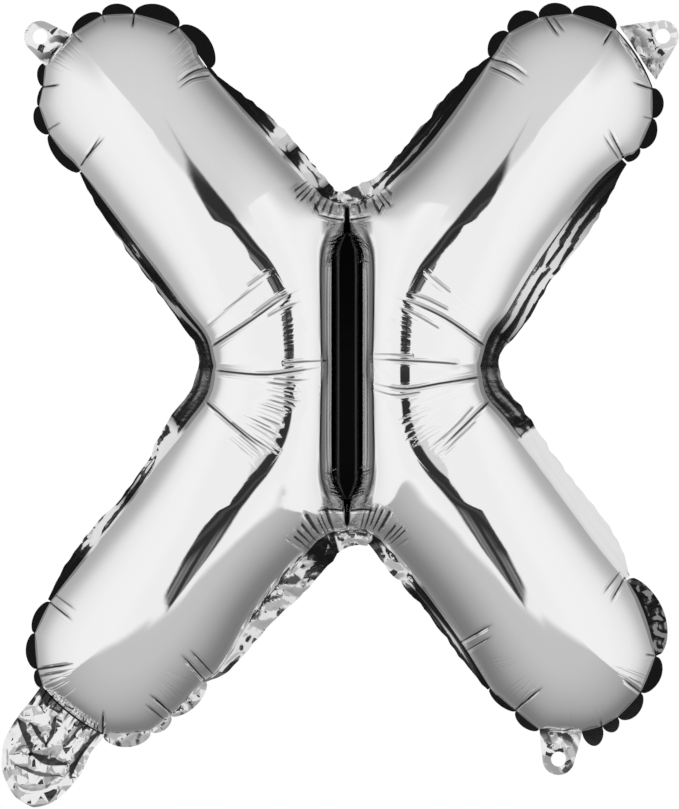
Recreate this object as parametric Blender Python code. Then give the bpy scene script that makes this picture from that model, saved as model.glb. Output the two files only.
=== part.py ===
"""A silver foil balloon in the shape of the letter X, air filled, 340 mm high.

Two films are welded together along the letter's outline and along a strip down its middle, so the
letter is two bent tubes side by side. Outside the weld a flat margin is left, cut in
scallops round the four arm ends, with three holed tabs and a filling tail.

World frame: X to the right, Z up, the front film faces -Y, the films meet in the plane Y = 0.
"""

import math

import bmesh
import bpy
from mathutils import Vector

MM = 0.001

# Driving dimensions, in millimetres until the meshes are made.
FILM = 1.0  # wall that stands for the thin film
GAP = 0.3  # clearance between pieces that touch
MARGIN = 0.8  # thickness of the welded margins and tabs
END_RADIUS = 40.0  # weld line round each arm end
ARM_DEPTH = 34.0  # how far one film bulges along an arm
TAPER = 110.0  # distance from an arm's tip over which its bulge grows to that depth
NECK_ANGLE = 18.0  # how far the end's round goes past its own middle
WEB_HALF = 3.4  # half the width of the middle weld strip
BAND_LEAST = 1.2  # width of the end margin at the bottom of a notch
HOLE_RADIUS = 3.5
TAB_RADIUS = 7.6
TAIL_THICK = 1.0
PROFILE_STEPS = 14  # facets across one bulge

# Arm: name, side of the letter, up or down, X and Z of the middle of its end.
ARMS = (
    ("upper_left", -1, 1, -101.8, 122.6),
    ("upper_right", 1, 1, 102.2, 123.1),
    ("lower_left", -1, -1, -104.5, -131.4),
    ("lower_right", 1, -1, 102.2, -129.5),
)

# Section of a bent tube from elbow to waist, for the upper right quarter:
# X and Z on the outer weld, X and Z on the inner weld, bulge.
QUARTER = (
    (73.5, 24.5, 11.5, 78.5, 34.0),
    (66.5, 14.5, WEB_HALF, 70.0, 33.0),
    (62.6, 7.0, WEB_HALF, 35.0, 31.5),
    (61.5, 0.0, WEB_HALF, 0.0, 30.5),
)

DOME_ANGLES = (90.0, 74.0, 56.0, 38.0, 19.0, 0.0, -NECK_ANGLE)
ARM_SHARES = (0.34, 0.67)  # further sections between an arm's end and its elbow

# Scallop of an end margin: where it starts and stops round the end, in degrees from +X, and how far
# it stands out past the weld.
SCALLOPS = {
    "upper_left": (
        (237, 203, 4.0),
        (203, 183, 4.6),
        (183, 170, 2.0),
        (170, 157, 3.4),
        (157, 131, 0.0),
        (131, 107, 4.0),
        (107, 86, 4.8),
        (86, 55, 7.0),
        (55, 22.6, 7.0),
    ),
    "upper_right": (
        (157.4, 151, 0.0),
        (151, 131, 4.8),
        (131, 110, 6.0),
        (110, 87, 5.4),
        (87, 56, 6.4),
        (56, 8, 0.0),
        (8, -12, 5.0),
        (-12, -31, 4.8),
        (-31, -57, 2.2),
    ),
    "lower_left": (
        (339.5, 318, 4.6),
        (318, 290, 2.6),
        (290, 258, 6.0),
        (258, 206, 0.0),
        (206, 193, 2.8),
        (193, 169, 4.2),
        (169, 146, 4.6),
        (146, 125, 0.0),
    ),
    "lower_right": (
        (414.6, 354, 8.6),
        (354, 328, 6.8),
        (328, 305, 5.4),
        (305, 293, 5.0),
        (293, 249, 0.0),
        (249, 231, 2.6),
        (231, 209, 2.4),
        (209, 200.2, 0.0),
    ),
}
SCALLOP_STEPS = 6

# Side margin: name, the arm it starts at, the arm it ends at, whether it runs along the outer weld,
# and its width at the first end, first arm, crotch, second arm and second end.
MARGINS = (
    ("margin_left", "upper_left", "lower_left", True, (4.5, 5.5, 8.0, 5.0, 4.0)),
    ("margin_right", "upper_right", "lower_right", True, (6.0, 10.5, 9.0, 8.0, 6.0)),
    ("margin_top", "upper_left", "upper_right", False, (4.0, 7.2, 5.5, 7.2, 4.0)),
    ("margin_bottom", "lower_left", "lower_right", False, (5.5, 12.0, 7.0, 5.5, 4.0)),
)

# Tab: arm end, direction from the end's middle in degrees, distance of the hole, half root width.
TABS = (
    ("upper_left", 143.6, 50.0, 8.5),
    ("upper_right", 33.9, 52.8, 13.0),
    ("lower_right", 265.2, 52.5, 8.8),
)
TAB_STEPS = 36

# The filling tail hangs from the lower left end. Distances run from that end's middle.
TAIL_ANGLE = 238.5  # direction in which the tail leaves
TAIL_SHIFT = -5.6  # the tail's centre line, beside the line through the end's middle
TAIL_HINGE = 46.0  # where the limp tail bends
TAIL_HALF = 19.2
TAIL_LENGTH = 37.0  # from the bend to the round tip
NECK_ROOT = (214.0, 250.0)  # the neck's stretch of the end, in degrees
NECK_STEPS = 8
TAIL_STEPS = 20


def polar(degrees):
    """Unit vector in the letter's plane, as X and Z."""
    return Vector((math.cos(math.radians(degrees)), math.sin(math.radians(degrees))))


def foil(name, colour, roughness):
    material = bpy.data.materials.new(name)
    material.use_nodes = True
    shader = material.node_tree.nodes["Principled BSDF"]
    shader.inputs["Base Color"].default_value = (*colour, 1.0)
    shader.inputs["Metallic"].default_value = 1.0
    shader.inputs["Roughness"].default_value = roughness
    return material


def add_object(name, mesh_data, material, origin=None):
    """Turn a bmesh in millimetres into an object in metres, with its origin in the letter's plane."""
    place = Vector((0.0, 0.0, 0.0)) if origin is None else Vector((origin[0], 0.0, origin[1]))
    for vertex in mesh_data.verts:
        vertex.co = (vertex.co - place) * MM
    mesh = bpy.data.meshes.new(name)
    mesh_data.to_mesh(mesh)
    mesh_data.free()
    mesh.materials.append(material)
    thing = bpy.data.objects.new(name, mesh)
    thing.location = place * MM
    bpy.context.scene.collection.objects.link(thing)
    return thing


def arm_of(name):
    return next(arm for arm in ARMS if arm[0] == name)


def quarter_row(index, side, up, inset):
    outer_x, outer_z, inner_x, inner_z, depth = QUARTER[index]
    outer = Vector((outer_x * side, outer_z * up))
    inner = Vector((inner_x * side, inner_z * up))
    step_in = (inner - outer).normalized() * inset
    return outer + step_in, inner - step_in, depth - inset


def ridge(distance):
    """Bulge of one film at a distance from an arm's tip: a quarter of an ellipse, then level."""
    short = max(1.0 - distance / TAPER, 0.0)
    return ARM_DEPTH * math.sqrt(1.0 - short * short)


def arm_rows(arm, inset=0.0):
    """Sections of one arm from its tip to the waist, each with outer weld, inner weld and bulge.

    inset moves all of them inwards, to the inner face of the film's wall.
    """
    side, up = arm[1:3]
    centre = Vector(arm[3:5])
    elbow_outer, elbow_inner = quarter_row(0, side, up, inset)[:2]
    axis = ((elbow_outer + elbow_inner) / 2 - centre).normalized()
    across = Vector((-axis.y, axis.x))
    if across.dot(elbow_outer - elbow_inner) < 0:
        across.negate()
    radius = END_RADIUS - inset
    rows = []
    for angle in DOME_ANGLES:
        short = radius * math.sin(math.radians(angle))
        middle = centre - axis * short
        half = radius * math.cos(math.radians(angle))
        depth = max(ridge(radius - short) - inset, 0.0)
        rows.append((middle + across * half, middle - across * half, depth))
    neck_outer, neck_inner = rows[-1][:2]
    for share in ARM_SHARES:
        outer = neck_outer.lerp(elbow_outer, share)
        inner = neck_inner.lerp(elbow_inner, share)
        distance = END_RADIUS + ((outer + inner) / 2 - centre).dot(axis)
        rows.append((outer, inner, ridge(distance) - inset))
    rows += [quarter_row(index, side, up, inset) for index in range(len(QUARTER))]
    return rows


def tube_rows(side, inset):
    """All sections of the left or the right bent tube, from the top to the bottom."""
    upper, lower = [arm for arm in ARMS if arm[1] == side]
    return arm_rows(upper, inset) + arm_rows(lower, inset)[-2::-1]


def film_grid(shell, face, side, inset):
    """Vertices of one face of a film's wall, row by row along the tube."""
    grid = []
    for outer, inner, depth in tube_rows(side, inset):
        middle = (outer + inner) / 2
        reach = (outer - inner) / 2
        row = []
        for step in range(PROFILE_STEPS + 1):
            angle = math.pi * step / PROFILE_STEPS
            place = middle + reach * math.cos(angle)
            lift = GAP / 2 + depth * math.sin(angle)
            row.append(shell.verts.new((place.x, face * lift, place.y)))
        grid.append(row)
    return grid


def add_film(name, face, side, material):
    """The bulge of one film over one bent tube, a shell that is open where it meets the other film."""
    shell = bmesh.new()
    skin = film_grid(shell, face, side, 0.0)
    lining = film_grid(shell, face, side, FILM)
    for index in range(len(skin) - 1):
        for step in range(PROFILE_STEPS):
            for grid in (skin, lining):
                near, far = grid[index], grid[index + 1]
                shell.faces.new((near[step], near[step + 1], far[step + 1], far[step]))
        for edge in (0, -1):
            near, far = skin[index][edge], skin[index + 1][edge]
            shell.faces.new((near, far, lining[index + 1][edge], lining[index][edge]))
    bmesh.ops.remove_doubles(shell, verts=shell.verts, dist=0.01)
    bmesh.ops.recalc_face_normals(shell, faces=shell.faces)
    if shell.calc_volume(signed=True) < 0:
        bmesh.ops.reverse_faces(shell, faces=shell.faces)
    return add_object(name, shell, material)


def add_ribbon(name, inner, outer, thickness, material, closed=False, origin=None):
    """A flat plate in the weld plane between two lines that have the same number of points."""
    plate = bmesh.new()
    half = thickness / 2
    rings = []
    for near, far in zip(inner, outer):
        corners = ((near, -half), (far, -half), (far, half), (near, half))
        rings.append([plate.verts.new((at.x, depth, at.y)) for at, depth in corners])
    pairs = list(zip(rings, rings[1:]))
    if closed:
        pairs.append((rings[-1], rings[0]))
    else:
        plate.faces.new(rings[0])
        plate.faces.new(rings[-1])
    for first, second in pairs:
        for corner in range(4):
            after = (corner + 1) % 4
            plate.faces.new((first[corner], first[after], second[after], second[corner]))
    bmesh.ops.recalc_face_normals(plate, faces=plate.faces)
    if plate.calc_volume(signed=True) < 0:
        bmesh.ops.reverse_faces(plate, faces=plate.faces)
    return add_object(name, plate, material, origin)


def add_centre_weld(material):
    """The flat strip down the middle, where the two films are welded to each other."""
    half = WEB_HALF - GAP
    top = QUARTER[1][3]
    inner = [Vector((-half, up)) for up in (top, 0.0, -top)]
    outer = [Vector((half, up)) for up in (top, 0.0, -top)]
    return add_ribbon("centre_weld", inner, outer, FILM, material)


def add_scallops(arm, material):
    """The margin round one arm end, which stands out in a row of scallops between notches."""
    centre = Vector(arm[3:5])
    inner = []
    outer = []
    least = END_RADIUS + GAP + BAND_LEAST
    for start, stop, reach in SCALLOPS[arm[0]]:
        for step in range(SCALLOP_STEPS):
            share = step / SCALLOP_STEPS
            bulge = max(reach - BAND_LEAST, 0.0) * math.sin(math.pi * share) ** 0.6
            ray = polar(start + (stop - start) * share)
            inner.append(centre + ray * (END_RADIUS + GAP))
            outer.append(centre + ray * (least + bulge))
    last = polar(SCALLOPS[arm[0]][-1][1])
    inner.append(centre + last * (END_RADIUS + GAP))
    outer.append(centre + last * least)
    return add_ribbon("scallops_" + arm[0], inner, outer, MARGIN, material)


def margin_width(widths, share):
    """Width of a side margin at a share of its length, from its five stations."""
    place = share * (len(widths) - 1)
    index = min(int(place), len(widths) - 2)
    return widths[index] + (widths[index + 1] - widths[index]) * (place - index)


def add_side_margin(name, first, second, on_outer, widths, material):
    """The margin in one of the letter's four crotches, along the weld from one arm to the next."""
    pick = 0 if on_outer else 1
    start = len(DOME_ANGLES) - 1
    stop = None if on_outer else -2
    down = [row[pick] for row in arm_rows(arm_of(first))[start:stop]]
    back = [row[pick] for row in arm_rows(arm_of(second))[start:stop]]
    weld = down + back[::-1][1 if on_outer else 0 :]
    crotch = weld[len(weld) // 2]
    away = Vector((crotch.x, 0.0)) if on_outer else Vector((0.0, crotch.y))
    run = [0.0]
    for before, after in zip(weld, weld[1:]):
        run.append(run[-1] + (after - before).length)
    inner = []
    outer = []
    for index, point in enumerate(weld):
        before = weld[max(index - 1, 0)]
        after = weld[min(index + 1, len(weld) - 1)]
        along = (after - before).normalized()
        normal = Vector((-along.y, along.x))
        if normal.dot(away) < 0:
            normal.negate()
        base = point.copy()
        for place, arm_name in ((0, first), (len(weld) - 1, second)):
            if index == place:
                normal = (point - Vector(arm_of(arm_name)[3:5])).normalized()
                base += along * GAP * (2 if place == 0 else -2)
        inner.append(base + normal * GAP)
        outer.append(base + normal * (GAP + margin_width(widths, run[index] / run[-1])))
    return add_ribbon(name, inner, outer, MARGIN, material)


def tab_reach(turn, root, half_root):
    """Distance from the hole's middle to the tab's edge, at an angle from the root's direction."""
    corner = math.hypot(root, half_root)
    tangent = math.atan2(half_root, root) + math.acos(TAB_RADIUS / corner)
    if abs(turn) >= tangent:
        return TAB_RADIUS
    lines = ((root, abs(turn)), (TAB_RADIUS, tangent - abs(turn)))
    return min(far / math.cos(lean) for far, lean in lines if lean < math.radians(89.0))


def add_tab(end, angle, distance, half_root, material):
    """A holed tab whose straight root lies against the end margin."""
    centre = Vector(arm_of(end)[3:5])
    hole = centre + polar(angle) * distance
    root = distance - (END_RADIUS + GAP + BAND_LEAST + GAP)
    inner = []
    outer = []
    for step in range(TAB_STEPS):
        turn = 2 * math.pi * step / TAB_STEPS
        signed = turn if turn <= math.pi else turn - 2 * math.pi
        ray = polar(angle + 180.0 + math.degrees(turn))
        inner.append(hole + ray * HOLE_RADIUS)
        outer.append(hole + ray * tab_reach(signed, root, half_root))
    return add_ribbon("tab_" + end, inner, outer, MARGIN, material, closed=True, origin=hole)


def add_neck(material):
    """The short stretch that carries the tail, from the end margin to the bend."""
    centre = Vector(arm_of("lower_left")[3:5])
    leave = polar(TAIL_ANGLE)
    across = polar(TAIL_ANGLE + 90.0)
    inner = []
    outer = []
    for step in range(NECK_STEPS + 1):
        share = step / NECK_STEPS
        angle = NECK_ROOT[0] + (NECK_ROOT[1] - NECK_ROOT[0]) * share
        inner.append(centre + polar(angle) * (END_RADIUS + GAP + BAND_LEAST + GAP))
        beside = TAIL_SHIFT + TAIL_HALF * (2 * share - 1)
        outer.append(centre + leave * (TAIL_HINGE - TAIL_THICK / 2 - GAP) + across * beside)
    return add_ribbon("tail_neck", inner, outer, TAIL_THICK, material)


def add_tail(material):
    """The filling tail: a limp round-ended flap, its root edge rounded about the line it bends on."""
    centre = Vector(arm_of("lower_left")[3:5])
    leave = polar(TAIL_ANGLE)
    across = polar(TAIL_ANGLE + 90.0)
    bend = centre + leave * TAIL_HINGE + across * TAIL_SHIFT
    outline = [(-TAIL_THICK / 2, -TAIL_HALF), (-TAIL_THICK / 2, TAIL_HALF)]
    for step in range(TAIL_STEPS + 1):
        turn = math.pi * step / TAIL_STEPS
        far = TAIL_LENGTH - TAIL_HALF + TAIL_HALF * math.sin(turn)
        outline.append((far, TAIL_HALF * math.cos(turn)))
    flap = bmesh.new()
    points = [bend + leave * far + across * beside for far, beside in outline]
    lower = [flap.verts.new((at.x, -TAIL_THICK / 2, at.y)) for at in points]
    sheet = flap.faces.new(lower)
    grown = bmesh.ops.extrude_face_region(flap, geom=[sheet])
    raised = [item for item in grown["geom"] if isinstance(item, bmesh.types.BMVert)]
    bmesh.ops.translate(flap, verts=raised, vec=(0.0, TAIL_THICK, 0.0))
    bmesh.ops.recalc_face_normals(flap, faces=flap.faces)
    root = []
    for edge in flap.edges:
        ends = [Vector((vertex.co.x, vertex.co.z)) - bend for vertex in edge.verts]
        level = abs(edge.verts[0].co.y - edge.verts[1].co.y) < GAP
        if level and all(abs(end.dot(leave) + TAIL_THICK / 2) < GAP / 2 for end in ends):
            root.append(edge)
    bmesh.ops.bevel(
        flap,
        geom=root,
        offset=TAIL_THICK * 0.48,
        segments=4,
        profile=0.5,
        affect="EDGES",
        clamp_overlap=True,
    )
    return add_object("fill_tail", flap, material, origin=bend)


def main():
    for thing in list(bpy.data.objects):
        bpy.data.objects.remove(thing, do_unlink=True)
    mirror_film = foil("mirror_film", (0.90, 0.90, 0.91), 0.04)
    margin_film = foil("margin_film", (0.86, 0.86, 0.87), 0.12)
    tail_film = foil("tail_film", (0.88, 0.88, 0.89), 0.16)
    for face_name, face in (("front", -1), ("back", 1)):
        for side_name, side in (("left", -1), ("right", 1)):
            add_film(f"{face_name}_film_{side_name}", face, side, mirror_film)
    add_centre_weld(mirror_film)
    for arm in ARMS:
        add_scallops(arm, margin_film)
    for name, first, second, on_outer, widths in MARGINS:
        add_side_margin(name, first, second, on_outer, widths, margin_film)
    for end, angle, distance, half_root in TABS:
        add_tab(end, angle, distance, half_root, margin_film)
    add_neck(tail_film)
    add_tail(tail_film)


main()
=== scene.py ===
# %% [markdown]
# # A silver letter balloon, piece by piece
# The object is a party balloon in the shape of the letter X. Two sheets of metallised film are
# welded together along the letter's outline and blown up with air. It has no hard parts at all:
# everything you see is thin film, and everything that makes it look real is how that film bulges,
# pinches and mirrors the studio around it. We load the measured frame first, because every piece
# has to land exactly where the frame says, and we write down the frame's box for later.

import bpy
import numpy as np
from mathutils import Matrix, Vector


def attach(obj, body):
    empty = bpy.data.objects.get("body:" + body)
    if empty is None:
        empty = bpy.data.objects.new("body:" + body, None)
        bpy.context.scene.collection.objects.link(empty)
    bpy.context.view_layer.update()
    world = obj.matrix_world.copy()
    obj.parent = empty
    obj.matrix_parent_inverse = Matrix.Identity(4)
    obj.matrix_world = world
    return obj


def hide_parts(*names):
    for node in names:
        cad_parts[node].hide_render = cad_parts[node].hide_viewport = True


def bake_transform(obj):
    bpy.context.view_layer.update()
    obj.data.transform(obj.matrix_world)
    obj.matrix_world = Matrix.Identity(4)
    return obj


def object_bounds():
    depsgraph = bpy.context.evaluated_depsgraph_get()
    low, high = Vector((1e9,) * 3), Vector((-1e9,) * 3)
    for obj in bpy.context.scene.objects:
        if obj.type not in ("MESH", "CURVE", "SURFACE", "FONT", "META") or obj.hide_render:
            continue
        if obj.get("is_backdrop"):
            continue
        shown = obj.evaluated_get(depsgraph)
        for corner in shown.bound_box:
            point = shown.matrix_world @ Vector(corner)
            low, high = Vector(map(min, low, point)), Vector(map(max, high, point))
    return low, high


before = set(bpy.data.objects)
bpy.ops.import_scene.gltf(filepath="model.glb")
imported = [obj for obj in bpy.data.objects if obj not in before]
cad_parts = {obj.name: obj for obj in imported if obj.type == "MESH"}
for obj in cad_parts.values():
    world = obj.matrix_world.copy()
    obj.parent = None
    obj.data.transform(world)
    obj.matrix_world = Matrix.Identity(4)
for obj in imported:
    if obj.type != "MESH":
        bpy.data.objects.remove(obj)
cad_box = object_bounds()
bpy.ops.object.select_all(action="DESELECT")

MM = 0.001
rng = np.random.default_rng(24)

# %% [markdown]
# ## The camera
# The picture was taken straight on, with the lens level with the middle of the picture and far
# enough away that the arms look almost flat. We could guess a focal length, but it is safer to
# work it out: the picture spans 374 mm at the letter's own plane, so at two metres the lens
# follows from similar triangles.

# %% Camera
VIEW_DISTANCE = 2.0
VIEW_HEIGHT = 0.3742
SENSOR = 24.0
VIEW_MIDDLE = (-0.0035, -0.0178)

bpy.ops.object.camera_add(
    location=(VIEW_MIDDLE[0], -VIEW_DISTANCE, VIEW_MIDDLE[1]),
    rotation=(np.radians(90.0), 0.0, 0.0),
)
camera = bpy.context.object
camera.data.sensor_fit = "VERTICAL"
camera.data.sensor_height = SENSOR
camera.data.sensor_width = SENSOR
camera.data.lens = SENSOR * VIEW_DISTANCE / VIEW_HEIGHT
bpy.context.scene.camera = camera
bpy.context.scene.view_settings.view_transform = "Standard"
print("lens", round(camera.data.lens, 1), "mm")

# %% [markdown]
# ## What the foil sees
# A mirror has no look of its own: its picture is the room. In the photograph the balloon stands
# between two big bright walls. Above it is a light grey ceiling, below it a darker grey floor, and
# straight ahead is the narrow dark shape of the camera on its stand, which draws the dark line
# along every ridge. Each of these depends on direction alone, so the whole room can be painted in
# the world: we split the sky by angle from the lens and by how steeply it looks up or down. A few
# helpers keep the long node trees readable.

# %% Helpers for node trees
NODE_ROWS = 6  # new nodes fill the tree in columns of so many
NODE_STEP = (220.0, -260.0)


def node(tree, kind, **settings):
    """Add a node at the next free place, and set some of its properties."""
    column, row = divmod(len(tree.nodes), NODE_ROWS)
    made = tree.nodes.new(kind)
    made.location = (column * NODE_STEP[0], row * NODE_STEP[1])
    for key, value in settings.items():
        setattr(made, key, value)
    return made


def feed(tree, socket, value):
    """Give a socket a number, or a link from another socket."""
    if isinstance(value, (int, float)):
        socket.default_value = value
    else:
        tree.links.new(value, socket)


def math(tree, operation, *values):
    """A math node on sockets or numbers; returns its output."""
    made = node(tree, "ShaderNodeMath", operation=operation)
    for socket, value in zip(made.inputs, values):
        feed(tree, socket, value)
    return made.outputs[0]


def rise(tree, value, low, high, start=0.0, stop=1.0):
    """A soft step from start at low to stop at high."""
    made = node(tree, "ShaderNodeMapRange", interpolation_type="SMOOTHSTEP")
    for label, number in (("From Min", low), ("From Max", high), ("To Min", start), ("To Max", stop)):
        made.inputs[label].default_value = number
    tree.links.new(value, made.inputs["Value"])
    return made.outputs[0]


def blend_values(tree, weight, first, second):
    """Mix two values or sockets by a weight."""
    made = node(tree, "ShaderNodeMix")
    for socket, value in zip((made.inputs[0], made.inputs[2], made.inputs[3]), (weight, first, second)):
        feed(tree, socket, value)
    return made.outputs[0]


# %% Brightness of the room, as it shows in the foil, against the angle from the lens
FOIL_SHARE = 0.94  # how much of the light the foil gives back
HALF_TURN = 180.0

WALLS = (
    (0, 0.93), (20, 0.93), (30, 0.945), (50, 0.94), (60, 0.925), (70, 0.905), (80, 0.86), (90, 0.79),
    (100, 0.73), (110, 0.70), (125, 0.68), (150, 0.68), (180, 0.72),
)
CEILING = (
    (0, 0.82), (20, 0.82), (30, 0.83), (50, 0.81), (60, 0.785), (70, 0.745), (80, 0.70), (90, 0.63),
    (100, 0.57), (110, 0.52), (120, 0.50), (135, 0.57), (150, 0.66), (180, 0.72),
)
FLOOR = (
    (0, 0.77), (20, 0.77), (30, 0.755), (40, 0.75), (50, 0.72), (60, 0.68), (70, 0.64), (80, 0.59),
    (90, 0.54), (100, 0.50), (120, 0.47), (140, 0.52), (160, 0.62), (180, 0.72),
)


def light_for(brightness):
    """Light in the room that shows as a given brightness in the foil."""
    return ((brightness + 0.055) / 1.055) ** 2.4 / FOIL_SHARE


def ramp(tree, share, span, stops):
    """Light along a share of a span, from stops of a place in the span and its brightness."""
    made = node(tree, "ShaderNodeValToRGB")
    points = made.color_ramp.elements
    while len(points) < len(stops):
        points.new(0.5)
    for point, (place, brightness) in zip(points, stops):
        point.position = place / span
        point.color = (*[light_for(brightness)] * 3, 1.0)
    tree.links.new(share, made.inputs["Fac"])
    return made.outputs["Color"]


# %% Build the world: walls, ceiling and floor
CEILING_STEEP = (0.47, 0.82)  # the ceiling starts between these steepnesses,
FLOOR_FALL = (0.285, 0.375)  # the floor where a direction falls by so much,
FLOOR_AHEAD = (0.10, 0.20, -0.05, 0.0)  # and a little later straight ahead

world = bpy.data.worlds.new("studio")
bpy.context.scene.world = world
world.use_nodes = True
tree = world.node_tree
tree.nodes.clear()
direction = node(tree, "ShaderNodeTexCoord")
parts = node(tree, "ShaderNodeSeparateXYZ")
tree.links.new(direction.outputs["Generated"], parts.inputs[0])
right, back, up = parts.outputs
ahead = math(tree, "MULTIPLY", back, -1.0)
angle_share = math(tree, "DIVIDE", math(tree, "ARCCOSINE", ahead), np.pi)
sideways = math(tree, "ABSOLUTE", right)
squares = [math(tree, "POWER", size, 2.0) for size in (sideways, math(tree, "ABSOLUTE", up))]
steep = math(tree, "DIVIDE", up, math(tree, "SQRT", math(tree, "ADD", *squares)))
is_ceiling = rise(tree, steep, *CEILING_STEEP)
fall = math(tree, "ADD", math(tree, "MULTIPLY", up, -1.0), rise(tree, sideways, *FLOOR_AHEAD))
is_floor = rise(tree, fall, *FLOOR_FALL)

walls = ramp(tree, angle_share, HALF_TURN, WALLS)
ceiling = ramp(tree, angle_share, HALF_TURN, CEILING)
ground = ramp(tree, angle_share, HALF_TURN, FLOOR)
room = blend_values(tree, is_ceiling, walls, ceiling)
room = blend_values(tree, is_floor, room, ground)

# %% The dark camera and its stand, straight ahead
# Half widths and heights are tangents of angles at the lens. The stand is dark inside the first
# of two half widths and clear past the second.
STAND_LOW = (0.140, 0.185)
STAND_LEVEL = (0.165, 0.190)
STAND_ABOVE = (0.140, 0.200)
LOW_ENDS = (-0.12, -0.04)  # heights where the low width turns into the level one,
LEVEL_ENDS = (0.03, 0.10)  # and the level one into the one above
STAND_FOOT = (-0.46, -0.18, 0.18)  # below, the stand narrows by the last value between these heights,
STAND_NECK = (0.05, 0.37, 0.16)  # and so it does above,
STAND_TOP = (0.17, 0.62)  # where it also fades out
IN_FRONT = (0.1, 0.3)
STAND_DARK = light_for(0.18)
LENS_DARK = light_for(0.27)
LENS_HALF = (0.008, 0.03)  # the lens shows in a thin line level with the camera
LEGS_TOP = (-0.16, -0.06)
LEGS_SPAN = 0.2
LEGS = (  # from the middle outwards: half width, brightness
    (0.0, 0.18), (0.02, 0.20), (0.045, 0.48), (0.07, 0.38), (0.10, 0.52), (0.13, 0.24), (0.19, 0.44),
)

near = math(tree, "MAXIMUM", ahead, 0.02)
aside = math(tree, "DIVIDE", sideways, near)
rising = math(tree, "DIVIDE", up, near)
foot = rise(tree, rising, *STAND_FOOT, 0.0)
low = rise(tree, math(tree, "ADD", aside, foot), *STAND_LOW, 1.0, 0.0)
level = rise(tree, aside, *STAND_LEVEL, 1.0, 0.0)
neck = rise(tree, rising, *STAND_NECK[:2], 0.0, STAND_NECK[2])
above = rise(tree, math(tree, "ADD", aside, neck), *STAND_ABOVE, 1.0, 0.0)
stand = blend_values(tree, rise(tree, rising, *LOW_ENDS), low, level)
stand = blend_values(tree, rise(tree, rising, *LEVEL_ENDS), stand, above)
stand = math(tree, "MULTIPLY", stand, rise(tree, rising, *STAND_TOP, 1.0, 0.0))
present = math(tree, "MULTIPLY", rise(tree, ahead, *IN_FRONT), math(tree, "SUBTRACT", 1.0, is_floor))
stand = math(tree, "MULTIPLY", stand, present)
off_level = rise(tree, math(tree, "ABSOLUTE", rising), *LENS_HALF)
darkness = blend_values(tree, off_level, LENS_DARK, STAND_DARK)
legs = ramp(tree, math(tree, "MULTIPLY", aside, 1.0 / LEGS_SPAN), LEGS_SPAN, LEGS)
darkness = blend_values(tree, rise(tree, rising, *LEGS_TOP, 1.0, 0.0), darkness, legs)
room = blend_values(tree, stand, room, darkness)

# %% White paper behind the balloon, for the lens only
seen = node(tree, "ShaderNodeLightPath")
room = blend_values(tree, seen.outputs["Is Camera Ray"], room, 1.0)
shine = node(tree, "ShaderNodeBackground")
tree.links.new(room, shine.inputs["Color"])
sky = node(tree, "ShaderNodeOutputWorld")
tree.links.new(shine.outputs["Background"], sky.inputs["Surface"])
print("world nodes", len(tree.nodes))

# %% [markdown]
# Direction alone is not enough for the walls. They stand so close that the upper arms look over
# the floor at them, where the lower arms look down at the floor. So each wall is also a real
# upright sheet beside the balloon. It glows as the room does in that direction, and high up it
# turns as grey as the ceiling. A bright shelf at the height of the crotch keeps the upper arms
# from seeing the floor. The floor is a plain pale disc far below. It stays out of the picture and
# out of the foil, whose floor is the world's, but it shows from other angles.

# %% The glow of the walls
ARM_X = 0.08  # the arms that mirror the walls are about this far out
WALL_FADE = (0.25, 0.42)  # over these heights the walls turn as grey as the ceiling,
WALL_FADE_DEPTH = (-0.50, -0.22)  # but not yet this far in front of the balloon

glow = bpy.data.materials.new("wall_glow")
glow.use_nodes = True
tree = glow.node_tree
tree.nodes.clear()
spot = node(tree, "ShaderNodeTexCoord")
spot_parts = node(tree, "ShaderNodeSeparateXYZ")
tree.links.new(spot.outputs["Object"], spot_parts.inputs[0])
across, behind, high = spot_parts.outputs
before = math(tree, "MULTIPLY", behind, -1.0)
gap = math(tree, "SUBTRACT", math(tree, "ABSOLUTE", across), ARM_X)
bearing = math(tree, "ARCTAN2", math(tree, "MAXIMUM", gap, 0.01), before)
bearing_share = math(tree, "DIVIDE", bearing, np.pi)
lit = ramp(tree, bearing_share, HALF_TURN, WALLS)
overhead = ramp(tree, bearing_share, HALF_TURN, CEILING)
is_grey = math(tree, "MULTIPLY", rise(tree, high, *WALL_FADE), rise(tree, behind, *WALL_FADE_DEPTH))
emit = node(tree, "ShaderNodeEmission")
tree.links.new(blend_values(tree, is_grey, lit, overhead), emit.inputs["Color"])
tree.links.new(emit.outputs[0], node(tree, "ShaderNodeOutputMaterial").inputs["Surface"])

# %% Walls and shelves beside the balloon
WALL_X = 0.38
SHEET_DEPTH = (-1.15, 0.60)
WALL_HEIGHT = {"left": (-0.285, 0.45), "right": (-0.300, 0.45)}
SHELF_X = 0.076


def glowing_sheet(name, corners):
    """A flat sheet of light that only the foil sees."""
    bpy.ops.mesh.primitive_plane_add(size=1.0)
    sheet = bpy.context.object
    sheet.name = name
    for vertex, corner in zip(sheet.data.vertices, corners):
        vertex.co = corner
    sheet.data.materials.append(glow)
    sheet.visible_camera = False
    sheet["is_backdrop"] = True


for side_name, side in (("left", -1), ("right", 1)):
    wall = [(side * WALL_X, y, z) for z in WALL_HEIGHT[side_name] for y in SHEET_DEPTH]
    shelf = [(side * x, y, 0.0) for x in (SHELF_X, WALL_X) for y in SHEET_DEPTH]
    glowing_sheet("wall_" + side_name, wall)
    glowing_sheet("shelf_" + side_name, shelf)
    print(side_name, "wall from", wall[0][2], "to", wall[-1][2], "m")


# %% The floor
FLOOR_Z = -0.62
FLOOR_RADIUS = 1.5

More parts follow.
